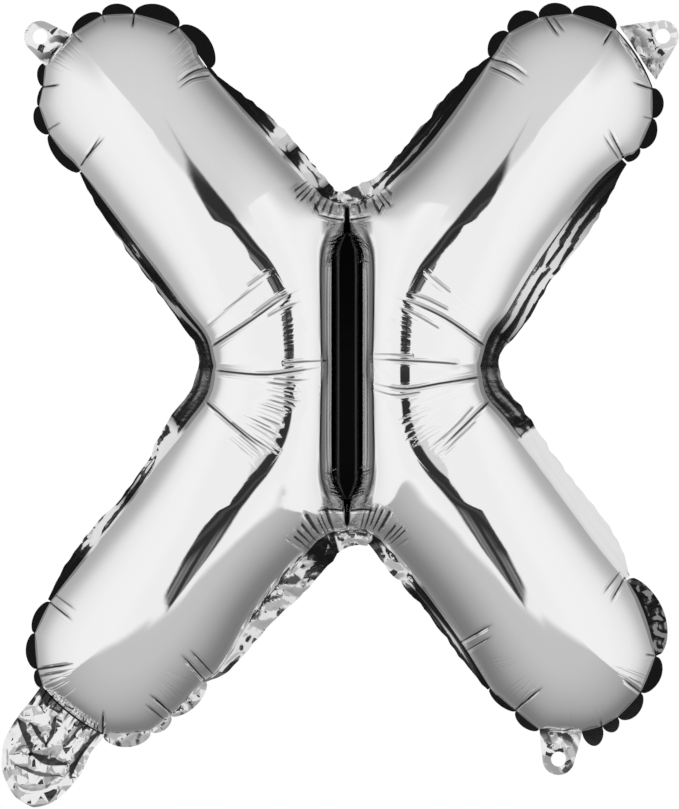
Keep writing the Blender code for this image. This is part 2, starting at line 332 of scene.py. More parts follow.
bpy.ops.mesh.primitive_circle_add(
    vertices=128, radius=FLOOR_RADIUS, fill_type="NGON", location=(0, 0, FLOOR_Z)
)
floor = bpy.context.object
floor.name = "floor"
floor.visible_glossy = False
paint = bpy.data.materials.new("pale_floor")
paint.use_nodes = True
paint.node_tree.nodes["Principled BSDF"].inputs["Base Color"].default_value = (0.95, 0.95, 0.95, 1)
paint.node_tree.nodes["Principled BSDF"].inputs["Roughness"].default_value = 0.8
floor.data.materials.append(paint)
floor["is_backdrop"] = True
print("floor", round(FLOOR_Z - cad_box[0][2], 2), "m from the lowest point")

# %% [markdown]
# ## The foil
# Three finishes cover the whole balloon. The blown-up film is nearly a perfect mirror, the welded
# margins have faint crinkles, and the tabs and the tail are limp film with small ones all over. We
# could look up the colour of each metal, but a metal's colour hardly matters next to what it
# mirrors. So all of them are one metallic shader, and only the roughness, the small relief and the
# shade painted into their colour differ: in folds, in the valley and on flat or leaning faces.

# %% Helpers for the finishes
def foil(name, light, roughness):
    """A metallic material, ready for its painted shade and relief; returns its node tree and shader
    too.
    """
    material = bpy.data.materials.new(name)
    material.use_nodes = True
    shader = material.node_tree.nodes["Principled BSDF"]
    shader.inputs["Base Color"].default_value = (*light, 1.0)
    shader.inputs["Metallic"].default_value = 1.0
    shader.inputs["Roughness"].default_value = roughness
    return material, material.node_tree, shader


def reading(tree, name):
    """A value that every vertex of the mesh carries."""
    return node(tree, "ShaderNodeAttribute", attribute_name=name).outputs["Fac"]


def paint_shade(tree, shader, shade, dark):
    """Paint shade into a foil's colour: its own colour at 0 and a dark one at 1."""
    tint = node(tree, "ShaderNodeMix", data_type="RGBA")
    tint.inputs["A"].default_value = shader.inputs["Base Color"].default_value
    tint.inputs["B"].default_value = (dark, dark, dark, 1.0)
    tree.links.new(shade, tint.inputs["Factor"])
    tree.links.new(tint.outputs["Result"], shader.inputs["Base Color"])


def noise(tree, place, scale, detail=2.0):
    """Cloudy noise over a place."""
    made = node(tree, "ShaderNodeTexNoise")
    made.inputs["Scale"].default_value = scale
    made.inputs["Detail"].default_value = detail
    tree.links.new(place, made.inputs["Vector"])
    return made.outputs["Fac"]


def add_bump(tree, shader, source, strength, distance, before=None):
    """Bump from a socket, chained onto another bump where one is given."""
    made = node(tree, "ShaderNodeBump")
    made.inputs["Strength"].default_value = strength
    made.inputs["Distance"].default_value = distance
    tree.links.new(source, made.inputs["Height"])
    if before is not None:
        tree.links.new(before.outputs["Normal"], made.inputs["Normal"])
    tree.links.new(made.outputs["Normal"], shader.inputs["Normal"])
    return made


# %% Mirror film: a faint haze that varies, and fine waviness
mirror_film, tree, shader = foil("mirror_film_finish", (0.94, 0.94, 0.945), 0.05)
place = node(tree, "ShaderNodeTexCoord").outputs["Object"]
haze = rise(tree, noise(tree, place, 28.0, 3.0), 0.2, 0.8, 0.03, 0.07)
tree.links.new(haze, shader.inputs["Roughness"])
relief = math(tree, "MULTIPLY", noise(tree, place, 120.0), 0.016)

# %% Mirror film: the sharp bottoms of the folds, in bump relief and a painted line of shade
FOLD_LAYERS = ("a", "b", "c")
# the bottom of a fold gets a thin line of painted shade within these distances
PAINTED_FOLD_LINE = (0.16, 0.62)  # the line is dark within the first distance and gone past the second, mm
FOLD_VALLEY = 0.992  # half the width of the valley round the line, mm
FOLD_DEEP = 0.30
ECHO_TURN = 4.4  # beside a line the film ripples: so many radians a mm,
ECHO_HIGH = 0.045  # and so high

dark = 0.0
for layer in FOLD_LAYERS:
    off = math(tree, "ABSOLUTE", reading(tree, "fold_gap_" + layer))
    depth = reading(tree, "fold_depth_" + layer)
    valley = math(tree, "MULTIPLY", rise(tree, off, 0.0, FOLD_VALLEY, 1.0, 0.0), depth)
    echo = math(tree, "SINE", math(tree, "MULTIPLY", off, ECHO_TURN))
    echo = math(tree, "MULTIPLY", math(tree, "MULTIPLY", echo, depth), ECHO_HIGH)
    relief = math(tree, "SUBTRACT", relief, math(tree, "MULTIPLY", valley, FOLD_DEEP))
    relief = math(tree, "ADD", relief, echo)
    # a thin line of painted shade along the bottom of each fold
    thin = math(tree, "MULTIPLY", rise(tree, off, *PAINTED_FOLD_LINE, 1.0, 0.0), depth)
    dark = math(tree, "ADD", thin, dark)


# %% Mirror film: puckers, and shade painted in their furrows and beside the middle weld
FURROW_HALF = 0.75  # how far up its wave a pucker's furrow reaches,
FURROW_DEEP = 0.55
PAINTED_PUCKER_LINE = (0.30, 0.78)  # and its dark line,
PUCKER_LIMITS = (0.16, 0.42, 0.0, 0.9)  # which only a deep pucker has
# the dark colour that full painted shade turns the film to
PAINTED_FOLD_SHADE = 0.05

depth = reading(tree, "pucker_depth")
swing = math(tree, "SINE", math(tree, "MULTIPLY", reading(tree, "pucker_phase"), np.pi))
swing = math(tree, "ABSOLUTE", swing)
furrow = math(tree, "MULTIPLY", rise(tree, swing, 0.0, FURROW_HALF, 1.0, 0.0), depth)
relief = math(tree, "SUBTRACT", relief, math(tree, "MULTIPLY", furrow, FURROW_DEEP))
# a line of painted shade along the furrow of a deep pucker
line = rise(tree, swing, *PAINTED_PUCKER_LINE, 1.0, 0.0)
line = math(tree, "MULTIPLY", line, rise(tree, depth, *PUCKER_LIMITS))
dark = math(tree, "ADD", dark, line)
dark = math(tree, "ADD", dark, reading(tree, "valley_shade"))
# painted shade: fold lines, pucker lines and the valley beside the middle weld darken the film's colour
paint_shade(tree, shader, math(tree, "MINIMUM", dark, 1.0), PAINTED_FOLD_SHADE)
add_bump(tree, shader, relief, 1.0, 0.001)
print("mirror film nodes", len(tree.nodes))

# %% Welded film: faint crinkles, and shade painted into its colour on flat and folded faces
# its colour is set a little darker than the mirror film's, which dims it as a painted shade
weld_film, tree, shader = foil("weld_film_finish", (0.80, 0.80, 0.804), 0.07)
paint_shade(tree, shader, reading(tree, "painted_fold_shade"), 0.10)
place = node(tree, "ShaderNodeTexCoord").outputs["Object"]
patchy = add_bump(tree, shader, noise(tree, place, 90.0, 3.0), 0.10, 0.0004)
add_bump(tree, shader, noise(tree, place, 420.0), 0.06, 0.0002, patchy)

# %% Limp film: small crinkles over the big folds, and shade painted into its colour
limp_film, tree, shader = foil("limp_film_finish", (0.90, 0.90, 0.9045), 0.08)
# shade painted into its colour where the tail's and tabs' tables say
paint_shade(tree, shader, reading(tree, "painted_fold_shade"), 0.08)
place = node(tree, "ShaderNodeTexCoord").outputs["Object"]
facets = node(tree, "ShaderNodeTexVoronoi", feature="F1")
facets.inputs["Scale"].default_value = 150.0
tree.links.new(place, facets.inputs["Vector"])
dented = add_bump(tree, shader, facets.outputs["Distance"], 0.10, 0.0008)
add_bump(tree, shader, noise(tree, place, 300.0), 0.08, 0.0004, dented)
print("finishes", [m.name for m in (mirror_film, weld_film, limp_film)])

# %% [markdown]
# ## The weld line
# Everything starts from the line along which the two films are welded, because it doesn't stretch:
# the bulges rise from it and the margins lie outside it. Round each arm's end it is nearly a
# circle, but the film shrinks as it fills, so the round breaks into chords between sharp notches.
# We could trace the whole outline, but the notches alone decide it, so we list each by its
# direction and distance from the middle of the end. The third number is how far the scallop after
# it stands out. All sizes here are millimetres.

# %% Ends of the arms and their notches
END_RADIUS = 40.0

ENDS = {  # side of the letter, up or down, X and Z of the middle of the end
    "upper_left": (-1, 1, -101.8, 122.6),
    "upper_right": (1, 1, 102.2, 123.1),
    "lower_left": (-1, -1, -104.5, -131.4),
    "lower_right": (1, -1, 102.2, -129.5),
}

NOTCHES = {  # direction in degrees, distance of the weld, reach of the scallop that follows
    "upper_left": (
        (236.2, 39.2, 4.2), (203.2, 39.0, 4.6), (183.3, 40.7, 1.6), (170.4, 39.3, 3.4),
        (155.4, 41.4, 0.0), (129.0, 39.8, 4.4), (106.2, 41.2, 4.9), (85.4, 40.4, 7.0),
        (54.9, 41.6, 6.9), (21.5, 42.0, 0.0),
    ),
    "upper_right": (
        (313.5, 38.9, 2.6), (326.0, 39.6, 5.0), (347.8, 39.8, 5.2), (368.1, 39.2, 0.0),
        (415.8, 39.2, 6.8), (447.3, 39.8, 5.8), (469.5, 40.3, 6.4), (491.4, 41.3, 5.2),
        (511.4, 40.5, 0.0),
    ),
    "lower_left": (
        (146.0, 39.7, 3.8), (168.9, 40.6, 4.6), (192.8, 39.6, 3.0), (206.0, 39.8, 0.0),
        (257.8, 39.7, 6.4), (290.0, 39.6, 3.6), (307.0, 37.8, 4.6), (339.7, 41.2, 0.0),
    ),
    "lower_right": (
        (408.0, 41.6, 8.8), (353.5, 40.6, 5.8), (327.4, 39.8, 5.6), (305.0, 40.0, 5.2),
        (293.1, 40.2, 8.0), (279.0, 40.0, 0.0), (250.6, 40.8, 3.6), (231.2, 38.4, 2.8),
        (208.6, 41.0, 0.0),
    ),
}
print("notches", {name: len(rows) for name, rows in NOTCHES.items()})

# %% [markdown]
# The sides of the arms are plain lines through a handful of measured points, and so are the four
# crotches between them. A smooth curve through points is all that these need. Each quarter of the
# letter has an outer line, which ends in the left or right crotch, and an inner line, which ends
# in the top or bottom one. The elbow is the row where the arm turns into the waist.

# %% Sides of the arms, as X and Z for each quarter
ARM_OUTER = {
    "upper_left": ((-123.0, 89.9), (-98.7, 57.6), (-74.0, 25.0)),
    "upper_right": ((127.2, 95.6), (112.6, 81.2), (89.2, 49.6), (73.8, 24.6)),
    "lower_left": ((-113.3, -77.7), (-100.2, -61.6), (-88.4, -44.9), (-74.4, -26.6)),
    "lower_right": ((129.0, -98.4), (115.5, -80.5), (89.9, -45.8), (73.6, -24.4)),
}
ARM_INNER = {
    "upper_left": ((-65.0, 138.0), (-38.0, 108.2), (-11.6, 78.6)),
    "upper_right": ((66.8, 142.4), (40.2, 105.8), (19.9, 84.4), (11.6, 78.2)),
    "lower_left": ((-65.8, -145.6), (-57.0, -137.6), (-40.2, -110.9), (-13.4, -80.6)),
    "lower_right": ((66.2, -149.0), (53.0, -128.0), (34.0, -102.4), (15.4, -80.4)),
}
CROTCH_OUTER = {
    "upper_left": ((-65.2, 13.2), (-61.8, 0.0)),
    "upper_right": ((65.6, 13.6), (61.6, 0.0)),
    "lower_left": ((-65.0, -13.6), (-61.8, 0.0)),
    "lower_right": ((64.4, -13.2), (61.6, 0.0)),
}
CROTCH_INNER = {  # rounded corner, then the low point of the crotch
    "upper_left": ((-6.0, 76.0), (0.0, 75.2)),
    "upper_right": ((5.8, 76.0), (0.0, 75.2)),
    "lower_left": ((-7.4, -77.0), (0.0, -75.8)),
    "lower_right": ((8.4, -76.6), (0.0, -75.8)),
}
STRIP_HALF = 3.4  # half the width of the weld down the middle
STRIP_TIP = 62.0  # where that strip runs out into a pinched slit
STRIP_ARCH = ((1.0, 59.8), (2.5, 56.0), (STRIP_HALF, 50.0), (STRIP_HALF, 25.0), (STRIP_HALF, 0.0))
print("weld down the middle", 2 * STRIP_TIP, "mm long and", 2 * STRIP_HALF, "mm wide")

# %% Helpers for directions and curves
def towards(degrees):
    """Unit vector in the letter's plane, X and Z."""
    turn = np.radians(degrees)
    return np.stack((np.cos(turn), np.sin(turn)), axis=-1)


def curve(points, shares):
    """Points at shares of the length of a smooth curve through the given ones."""
    knots = np.array(points, float)
    if len(knots) == 2:
        return knots[0] + (knots[1] - knots[0]) * np.asarray(shares)[:, None]
    knots = np.vstack((2 * knots[0] - knots[1], knots, 2 * knots[-1] - knots[-2]))
    fine = np.linspace(0.0, 1.0, 25)[:-1, None]
    runs = []
    for a, b, c, d in zip(knots, knots[1:], knots[2:], knots[3:]):
        bend = 2 * a - 5 * b + 4 * c - d
        twist = 3 * (b - c) + d - a
        runs.append(0.5 * (2 * b + (c - a) * fine + bend * fine**2 + twist * fine**3))
    line = np.vstack(runs + [knots[-2][None, :]])
    run = np.concatenate(([0.0], np.cumsum(np.linalg.norm(np.diff(line, axis=0), axis=1))))
    at = np.asarray(shares) * run[-1]
    return np.stack([np.interp(at, run, line[:, axis]) for axis in (0, 1)], axis=-1)


# %% The line of an arm, and the weld round its end
CHORD_SHARE = 0.62  # how far the weld has pulled straight between two notches


def end_axis(name):
    """Middle of an end, the unit vector out along its arm and the one across, to the outer side."""
    middle = np.array(ENDS[name][2:])
    elbow = (np.array(ARM_OUTER[name][-1]) + np.array(ARM_INNER[name][-1])) / 2
    out = (middle - elbow) / np.linalg.norm(middle - elbow)
    across = np.array((-out[1], out[0]))
    if across @ (np.array(ARM_OUTER[name][-1]) - elbow) < 0:
        across = -across
    return middle, out, across


def weld_radius(name, degrees):
    """Distance of the weld from the middle of an end, in a direction."""
    rows = sorted(NOTCHES[name])
    angles = np.array([row[0] for row in rows])
    radii = np.array([row[1] for row in rows])
    low = angles[0]
    degrees = (np.asarray(degrees, float) - low + 3600.0) % 360.0 + low
    degrees = np.where(degrees > angles[-1] + 60.0, degrees - 360.0, degrees)
    inside = np.clip(degrees, angles[0], angles[-1])
    after = np.clip(np.searchsorted(angles, inside), 1, len(angles) - 1)
    first = towards(angles[after - 1]) * radii[after - 1][..., None]
    second = towards(angles[after]) * radii[after][..., None]
    span = second - first
    ray = towards(inside)
    straight = (first[..., 0] * span[..., 1] - first[..., 1] * span[..., 0]) / (
        ray[..., 0] * span[..., 1] - ray[..., 1] * span[..., 0]
    )
    rounded = np.interp(inside, angles, radii)
    return CHORD_SHARE * straight + (1 - CHORD_SHARE) * rounded


for name in ENDS:
    print(name, "weld at", np.round(weld_radius(name, np.array([45.0, 135.0, 225.0, 315.0])), 1))


# %% [markdown]
# ## The bulging film
# Blown-up film stands nearly upright where it leaves the weld and lies level along its ridge, so a
# half ellipse is a good section. Along an arm the ridge climbs from the tip like a quarter
# ellipse. We could inflate a flat mesh with cloth and pressure, but a mirror shows every flat
# facet and every seam, so the form is found in two steps. First a fine flat mesh is laid inside
# the weld, out of patches: a round one for each end, one along each arm and one for each quarter
# of the waist. Then it is blown up like a soap film over the letter's outline, which leaves no
# seam anywhere, and the pinches are pressed in afterwards.

# %% Height of the ridge
ARM_DEPTH = 34.0
TAPER = 110.0
WAIST_DEPTH = 30.5
WELD_GAP = 0.15  # the films meet this far in front of and behind the letter's plane


def ridge(distance):
    """Height of an arm's ridge at a distance from its tip."""
    short = np.clip(1.0 - np.asarray(distance) / TAPER, 0.0, 1.0)
    return ARM_DEPTH * np.sqrt(1.0 - short * short)


print("ridge 10, 40 and 110 mm from the tip", np.round(ridge([10.0, 40.0, 110.0]), 1))

# %% A grid primitive laid into any shape
def mark(piece, name, values):
    """Give every vertex a value that the finish can read."""
    layer = piece.data.attributes.new(name, "FLOAT", "POINT")
    layer.data.foreach_set("value", values.astype(np.float32))


def patch(name, table, shade=None):
    """Add a grid primitive and move its vertices to a table of points, rows by columns, in mm, with a
    table of painted shade where one is given.
    """
    rows, columns = table.shape[0] - 1, table.shape[1] - 1
    bpy.ops.mesh.primitive_grid_add(x_subdivisions=columns, y_subdivisions=rows, size=1.0)
    piece = bpy.context.object
    piece.name = name
    mesh = piece.data
    flat = np.empty(len(mesh.vertices) * 3, np.float32)
    mesh.vertices.foreach_get("co", flat)
    flat = flat.reshape(-1, 3)
    column = np.rint((flat[:, 0] + 0.5) * columns).astype(int)
    row = np.rint((flat[:, 1] + 0.5) * rows).astype(int)
    mesh.vertices.foreach_set("co", (table[row, column] * MM).astype(np.float32).ravel())
    # a table of painted shade, where one is given
    if shade is not None:
        mark(piece, "painted_fold_shade", shade[row, column])
    mesh.update()
    return piece


# %% Pieces become one, and their points are read and moved
def join(name, pieces, merge=0.00002):
    """Join pieces into one object and merge the vertices that lie on each other."""
    bpy.ops.object.select_all(action="DESELECT")
    for piece in pieces:
        piece.select_set(True)
    bpy.context.view_layer.objects.active = pieces[0]
    if len(pieces) > 1:
        bpy.ops.object.join()
    whole = bpy.context.object
    whole.name = name
    whole.data.name = name
    bpy.ops.object.mode_set(mode="EDIT")
    bpy.ops.mesh.select_all(action="SELECT")
    bpy.ops.mesh.remove_doubles(threshold=merge)
    bpy.ops.mesh.normals_make_consistent(inside=False)
    bpy.ops.object.mode_set(mode="OBJECT")
    return whole


def coordinates(piece):
    """Where all vertices are, in mm."""
    flat = np.empty(len(piece.data.vertices) * 3, np.float32)
    piece.data.vertices.foreach_get("co", flat)
    return flat.reshape(-1, 3).astype(float) / MM


def set_coordinates(piece, points):
    """Move all vertices to points in mm."""
    piece.data.vertices.foreach_set("co", (points * MM).astype(np.float32).ravel())
    piece.data.update()


def vertex_normals(piece):
    """Which way the surface faces at every vertex."""
    flat = np.empty(len(piece.data.vertices) * 3, np.float32)
    piece.data.vertex_normals.foreach_get("vector", flat)
    return flat.reshape(-1, 3).astype(float)


# %% Straight rows across a tube of film
HALF_COLUMNS = 60


def rows_across(outer, inner, middle):
    """Rows of points from one weld over a middle point to the other, closer together at the weld."""
    swing = np.cos(np.linspace(0.0, np.pi, 2 * HALF_COLUMNS + 1))[None, :, None]
    to_outer = np.maximum(swing, 0.0) * (outer - middle)[:, None, :]
    to_inner = np.maximum(-swing, 0.0) * (inner - middle)[:, None, :]
    flat = middle[:, None, :] + to_outer + to_inner
    return np.stack((flat[..., 0], np.zeros(flat.shape[:2]), flat[..., 1]), axis=-1)


# %% The round patch of an end
END_COLUMNS = 240
NOTCH_PULL = 2.2  # how much denser the grid is at a notch,
NOTCH_SPREAD = 4.0  # over so many degrees,
PULL_ENDS = (60.0, 84.0)  # and between which directions from the arm's line that fades out


def end_patch(name):
    """Rings round the middle of an end, with more columns at its notches."""
    middle, out, across = end_axis(name)
    outward = np.degrees(np.arctan2(out[1], out[0]))
    turned = 1.0 if out[0] * across[1] - out[1] * across[0] > 0 else -1.0
    fine = np.linspace(-90.0, 90.0, 3601)
    density = np.ones_like(fine)
    for angle, _, _ in NOTCHES[name]:
        off = ((angle - outward) * turned + 180.0) % 360.0 - 180.0
        apart = np.clip((PULL_ENDS[1] - abs(off)) / (PULL_ENDS[1] - PULL_ENDS[0]), 0.0, 1.0)
        density += NOTCH_PULL * apart * np.exp(-(((fine - off) / NOTCH_SPREAD) ** 2))
    run = np.concatenate(([0.0], np.cumsum((density[1:] + density[:-1]) / 2)))
    turn = np.interp(np.linspace(0.0, run[-1], END_COLUMNS + 1), run, fine)
    radius = weld_radius(name, outward + turned * turn)
    share = np.sin(np.linspace(0.0, np.pi / 2, HALF_COLUMNS + 1))[:, None]
    cosine = np.cos(np.radians(turn))[None, :]
    sine = np.sin(np.radians(turn))[None, :]
    far = share * radius[None, :]
    x = middle[0] + far * (cosine * out[0] + sine * across[0])
    z = middle[1] + far * (cosine * out[1] + sine * across[1])
    return patch("end_" + name, np.stack((x, 0.0 * x, z), axis=-1))


# %% The patch along an arm
ARM_ROWS = 84
SETTLE = 0.3  # over this share of its length an arm's middle line leaves the middle of the end


def arm_patch(name):
    """Rows across an arm, from its end to its elbow."""
    middle, _, across = end_axis(name)
    bearing = np.degrees(np.arctan2(across[1], across[0]))
    start_outer = middle + across * weld_radius(name, bearing)
    start_inner = middle - across * weld_radius(name, bearing + 180.0)
    even = np.linspace(0.0, 1.0, ARM_ROWS + 1)
    shares = 0.55 * even + 0.45 * even**1.8
    outer = curve([start_outer, *ARM_OUTER[name]], shares)
    inner = curve([start_inner, *ARM_INNER[name]], shares)
    halfway = (outer + inner) / 2
    settle = (1.0 - np.clip(even / SETTLE, 0.0, 1.0))[:, None]
    return patch("arm_" + name, rows_across(outer, inner, halfway + (middle - halfway[0]) * settle))


# %% The patch of a quarter of the waist
WAIST_ROWS = (16, 12, 60)  # rows along the crotch, along the slit and along the strip


def waist_patch(name):
    """Rows across a quarter of the waist, from the elbow to its middle."""
    side, up = ENDS[name][:2]
    rows = sum(WAIST_ROWS)
    outer = curve([ARM_OUTER[name][-1], *CROTCH_OUTER[name]], np.arange(rows + 1) / rows)
    corner_shares, slit_shares = (np.arange(count) / count for count in WAIST_ROWS[:2])
    corner = curve([ARM_INNER[name][-1], *CROTCH_INNER[name]], corner_shares)
    tip = (0.0, STRIP_TIP * up)
    slit = curve([CROTCH_INNER[name][-1], tip], slit_shares)
    arch = [tip] + [(x * side, z * up) for x, z in STRIP_ARCH]
    strip = curve(arch, np.linspace(0.0, 1.0, WAIST_ROWS[2] + 1) ** 1.15)
    inner = np.vstack((corner, slit, strip))
    return patch("waist_" + name, rows_across(outer, inner, (outer + inner) / 2))


# %% Lay the twelve patches and join them into a left and a right sheet
SIDES = {"left": ("upper_left", "lower_left"), "right": ("upper_right", "lower_right")}
films = {}
for side_name, quarters in SIDES.items():
    patches = [make(name) for name in quarters for make in (end_patch, arm_patch, waist_patch)]
    films[side_name] = join("front_mirror_" + side_name, patches, 0.000002)
    print(films[side_name].name, len(films[side_name].data.polygons), "faces")


# %% [markdown]
# A soap film blown up a little over a frame is as simple as a swollen shape gets: its height
# answers to Poisson's equation. Twice its height is the square of the radius for a long straight
# frame, so the square root turns it into a round tube. We write the equation for the mesh with
# cotangent weights and solve it by conjugate gradients, which needs nothing but sums over edges.
# The tube's own ridge rises and falls with the outline's width, and a mirror shows every dip. So we
# measure the ridge at stations along each arm and down the waist, and stretch the tube to the ridge
# that we want.

# %% Solve for the blown-up film
ROUNDS = 1500


def swell(points, triangles, held, values):
    """Solve Poisson's equation on a flat mesh; held vertices keep their values."""
    total = len(points)
    firsts = np.concatenate([triangles[:, (k + 1) % 3] for k in range(3)])
    seconds = np.concatenate([triangles[:, (k + 2) % 3] for k in range(3)])
    corners = np.concatenate([triangles[:, k] for k in range(3)])
    to_first = points[firsts] - points[corners]
    to_second = points[seconds] - points[corners]
    doubled = np.abs(to_first[:, 0] * to_second[:, 1] - to_first[:, 1] * to_second[:, 0])
    weights = 0.5 * np.sum(to_first * to_second, axis=1) / np.maximum(doubled, 1e-9)
    load = np.bincount(corners, doubled / 6.0, total)
    diagonal = np.bincount(firsts, weights, total) + np.bincount(seconds, weights, total)
    free = ~held

    def apply(vector):
        """How strongly every vertex is pulled away from its neighbours' mean."""
        pulled = np.bincount(firsts, weights * vector[seconds], total)
        pulled += np.bincount(seconds, weights * vector[firsts], total)
        return diagonal * vector - pulled

    answer = np.where(held, values, 0.0)
    rest = np.where(free, load - apply(answer), 0.0)
    start = np.abs(rest).sum()
    eased = np.where(free, rest / diagonal, 0.0)
    heading = eased.copy()
    energy = rest @ eased
    for _ in range(ROUNDS):
        bent = np.where(free, apply(heading), 0.0)
        length = energy / (heading @ bent)
        answer += length * heading
        rest -= length * bent
        eased = np.where(free, rest / diagonal, 0.0)
        after = rest @ eased
        heading = eased + after / energy * heading
        energy = after
    print("what is left of the load", float(np.abs(rest).sum() / start))
    return answer


# %% Measure a ridge
CREST_SLICE = 1.6  # the top is looked for this near a station,
CREST_PATCH = (4.0, 9.0)  # and the film measured this far along and across


def smooth(value, low, high):
    """Rises softly from 0 at low to 1 at high."""
    at = np.clip((value - low) / (high - low), 0.0, 1.0)
    return at * at * (3 - 2 * at)


def crest(along, across, tube, stations):
    """Height of the ridge at stations, from a curved surface fitted to the film around each."""
    heights = []
    for station in stations:
        level = np.abs(along - station) < CREST_SLICE
        middle = across[level][tube[level].argmax()]
        near = (np.abs(along - station) < CREST_PATCH[0]) & (np.abs(across - middle) < CREST_PATCH[1])
        a, b = along[near] - station, across[near] - middle
        terms = np.stack((np.ones(len(a)), a, b, a * a, a * b, b * b), axis=1)
        fit = np.linalg.lstsq(terms, tube[near], rcond=None)[0]
        heights.append(fit[0] - fit[2] ** 2 / (4 * fit[5]))
    return np.array(heights)


def eased(stations, shares, at, softness=4.0):
    """Read a table between its stations without any corner."""
    grid = np.arange(stations[0], stations[-1] + 0.25, 0.5)
    reach = int(6 * softness)
    bell = np.exp(-(((np.arange(-reach, reach + 1) * 0.5) / softness) ** 2) / 2)
    padded = np.pad(np.interp(grid, stations, shares), reach, mode="reflect")
    return np.interp(at, grid, np.convolve(padded, bell / bell.sum(), mode="valid"))


# %% How far the film stands out along each arm and down the waist
WAIST_STATIONS = np.arange(0.0, 92.0, 2.0)
ARM_STATIONS = np.arange(8.0, 120.0, 2.0)
WAIST_DEEPENS = (4.0, 70.0)  # the waist's ridge climbs to the arms' between these heights


def triangles_and_rim(film):
    """The triangles of a sheet, and which of its vertices lie on its rim."""
    mesh = film.data
    total = len(mesh.vertices)
    mesh.calc_loop_triangles()
    triangles = np.empty(len(mesh.loop_triangles) * 3, np.int32)
    mesh.loop_triangles.foreach_get("vertices", triangles)
    triangles = triangles.reshape(-1, 3)
    edges = np.sort(np.vstack([triangles[:, (k, (k + 1) % 3)] for k in range(3)]), axis=1)
    keys, counts = np.unique(edges[:, 0].astype(np.int64) * total + edges[:, 1], return_counts=True)
    rim = keys[counts == 1]
    held = np.zeros(total, bool)
    held[rim // total] = True
    held[rim % total] = True
    return triangles, held


def waist_share(side_name, points, tube):
    """How much the tube is stretched at every height of the waist to give it its ridge."""
    height = np.abs(points[:, 1])
    tops = crest(height, np.abs(points[:, 0]), tube, WAIST_STATIONS)
    wanted = WAIST_DEPTH + (ARM_DEPTH - WAIST_DEPTH) * smooth(WAIST_STATIONS, *WAIST_DEEPENS)
    print(side_name, "tube in the waist", np.round(tops[::5], 1))
    return eased(WAIST_STATIONS, wanted / tops, height)


def arm_share(name, points, tube, own):
    """The same along an arm, by the distance from its tip."""
    middle, out, across = end_axis(name)
    offset = points - middle
    along = END_RADIUS - offset @ out
    found = crest(along[own], (offset @ across)[own], tube[own], ARM_STATIONS)
    print(name, "tube along the arm", np.round(found[::8], 1))
    return eased(ARM_STATIONS, ridge(ARM_STATIONS) / found, along)


# %% Blow up both sheets
SLIT_LIFT = 6.0
WAIST_REACH = (48.0, 82.0)  # the waist's own measure fades into the arms' between these heights
WAIST_RIDGE_X = 32.6
LEAN = 0.0095  # how much the waist's ridge leans towards the middle,
LEAN_ENDS = (20.0, 66.0)  # and between which heights that fades out

for side_name, film in films.items():
    points = coordinates(film)[:, (0, 2)]
    height = np.abs(points[:, 1])
    triangles, held = triangles_and_rim(film)
    # The slit between the strip and the crotch is pinched, but not flat.
    low_points = (CROTCH_INNER["upper_left"][-1][1], -CROTCH_INNER["lower_left"][-1][1])
    crotch = np.where(points[:, 1] > 0, *low_points)
    in_slit = np.clip((height - STRIP_TIP) / (crotch - STRIP_TIP), 0.0, 1.0)
    slit_height = np.where(np.abs(points[:, 0]) < 0.01, SLIT_LIFT * np.sin(np.pi * in_slit), 0.0)
    tube = np.sqrt(2 * np.clip(swell(points, triangles, held, slit_height**2 / 2), 0.0, None))
    side = -1 if side_name == "left" else 1
    lean = LEAN * (1 - smooth(height, *LEAN_ENDS))
    tube = tube * np.exp(-lean * (points[:, 0] * side - WAIST_RIDGE_X))
    waist = waist_share(side_name, points, tube)
    arms = np.zeros(len(points))
    for name in SIDES[side_name]:
        own = points[:, 1] * ENDS[name][1] >= 0
        arms = np.where(own, arm_share(name, points, tube, own), arms)
    blend = smooth(height, *WAIST_REACH)
    lift = np.where(held, slit_height, tube * (waist * (1 - blend) + arms * blend))
    set_coordinates(film, np.stack((points[:, 0], -lift - WELD_GAP, points[:, 1]), axis=-1))
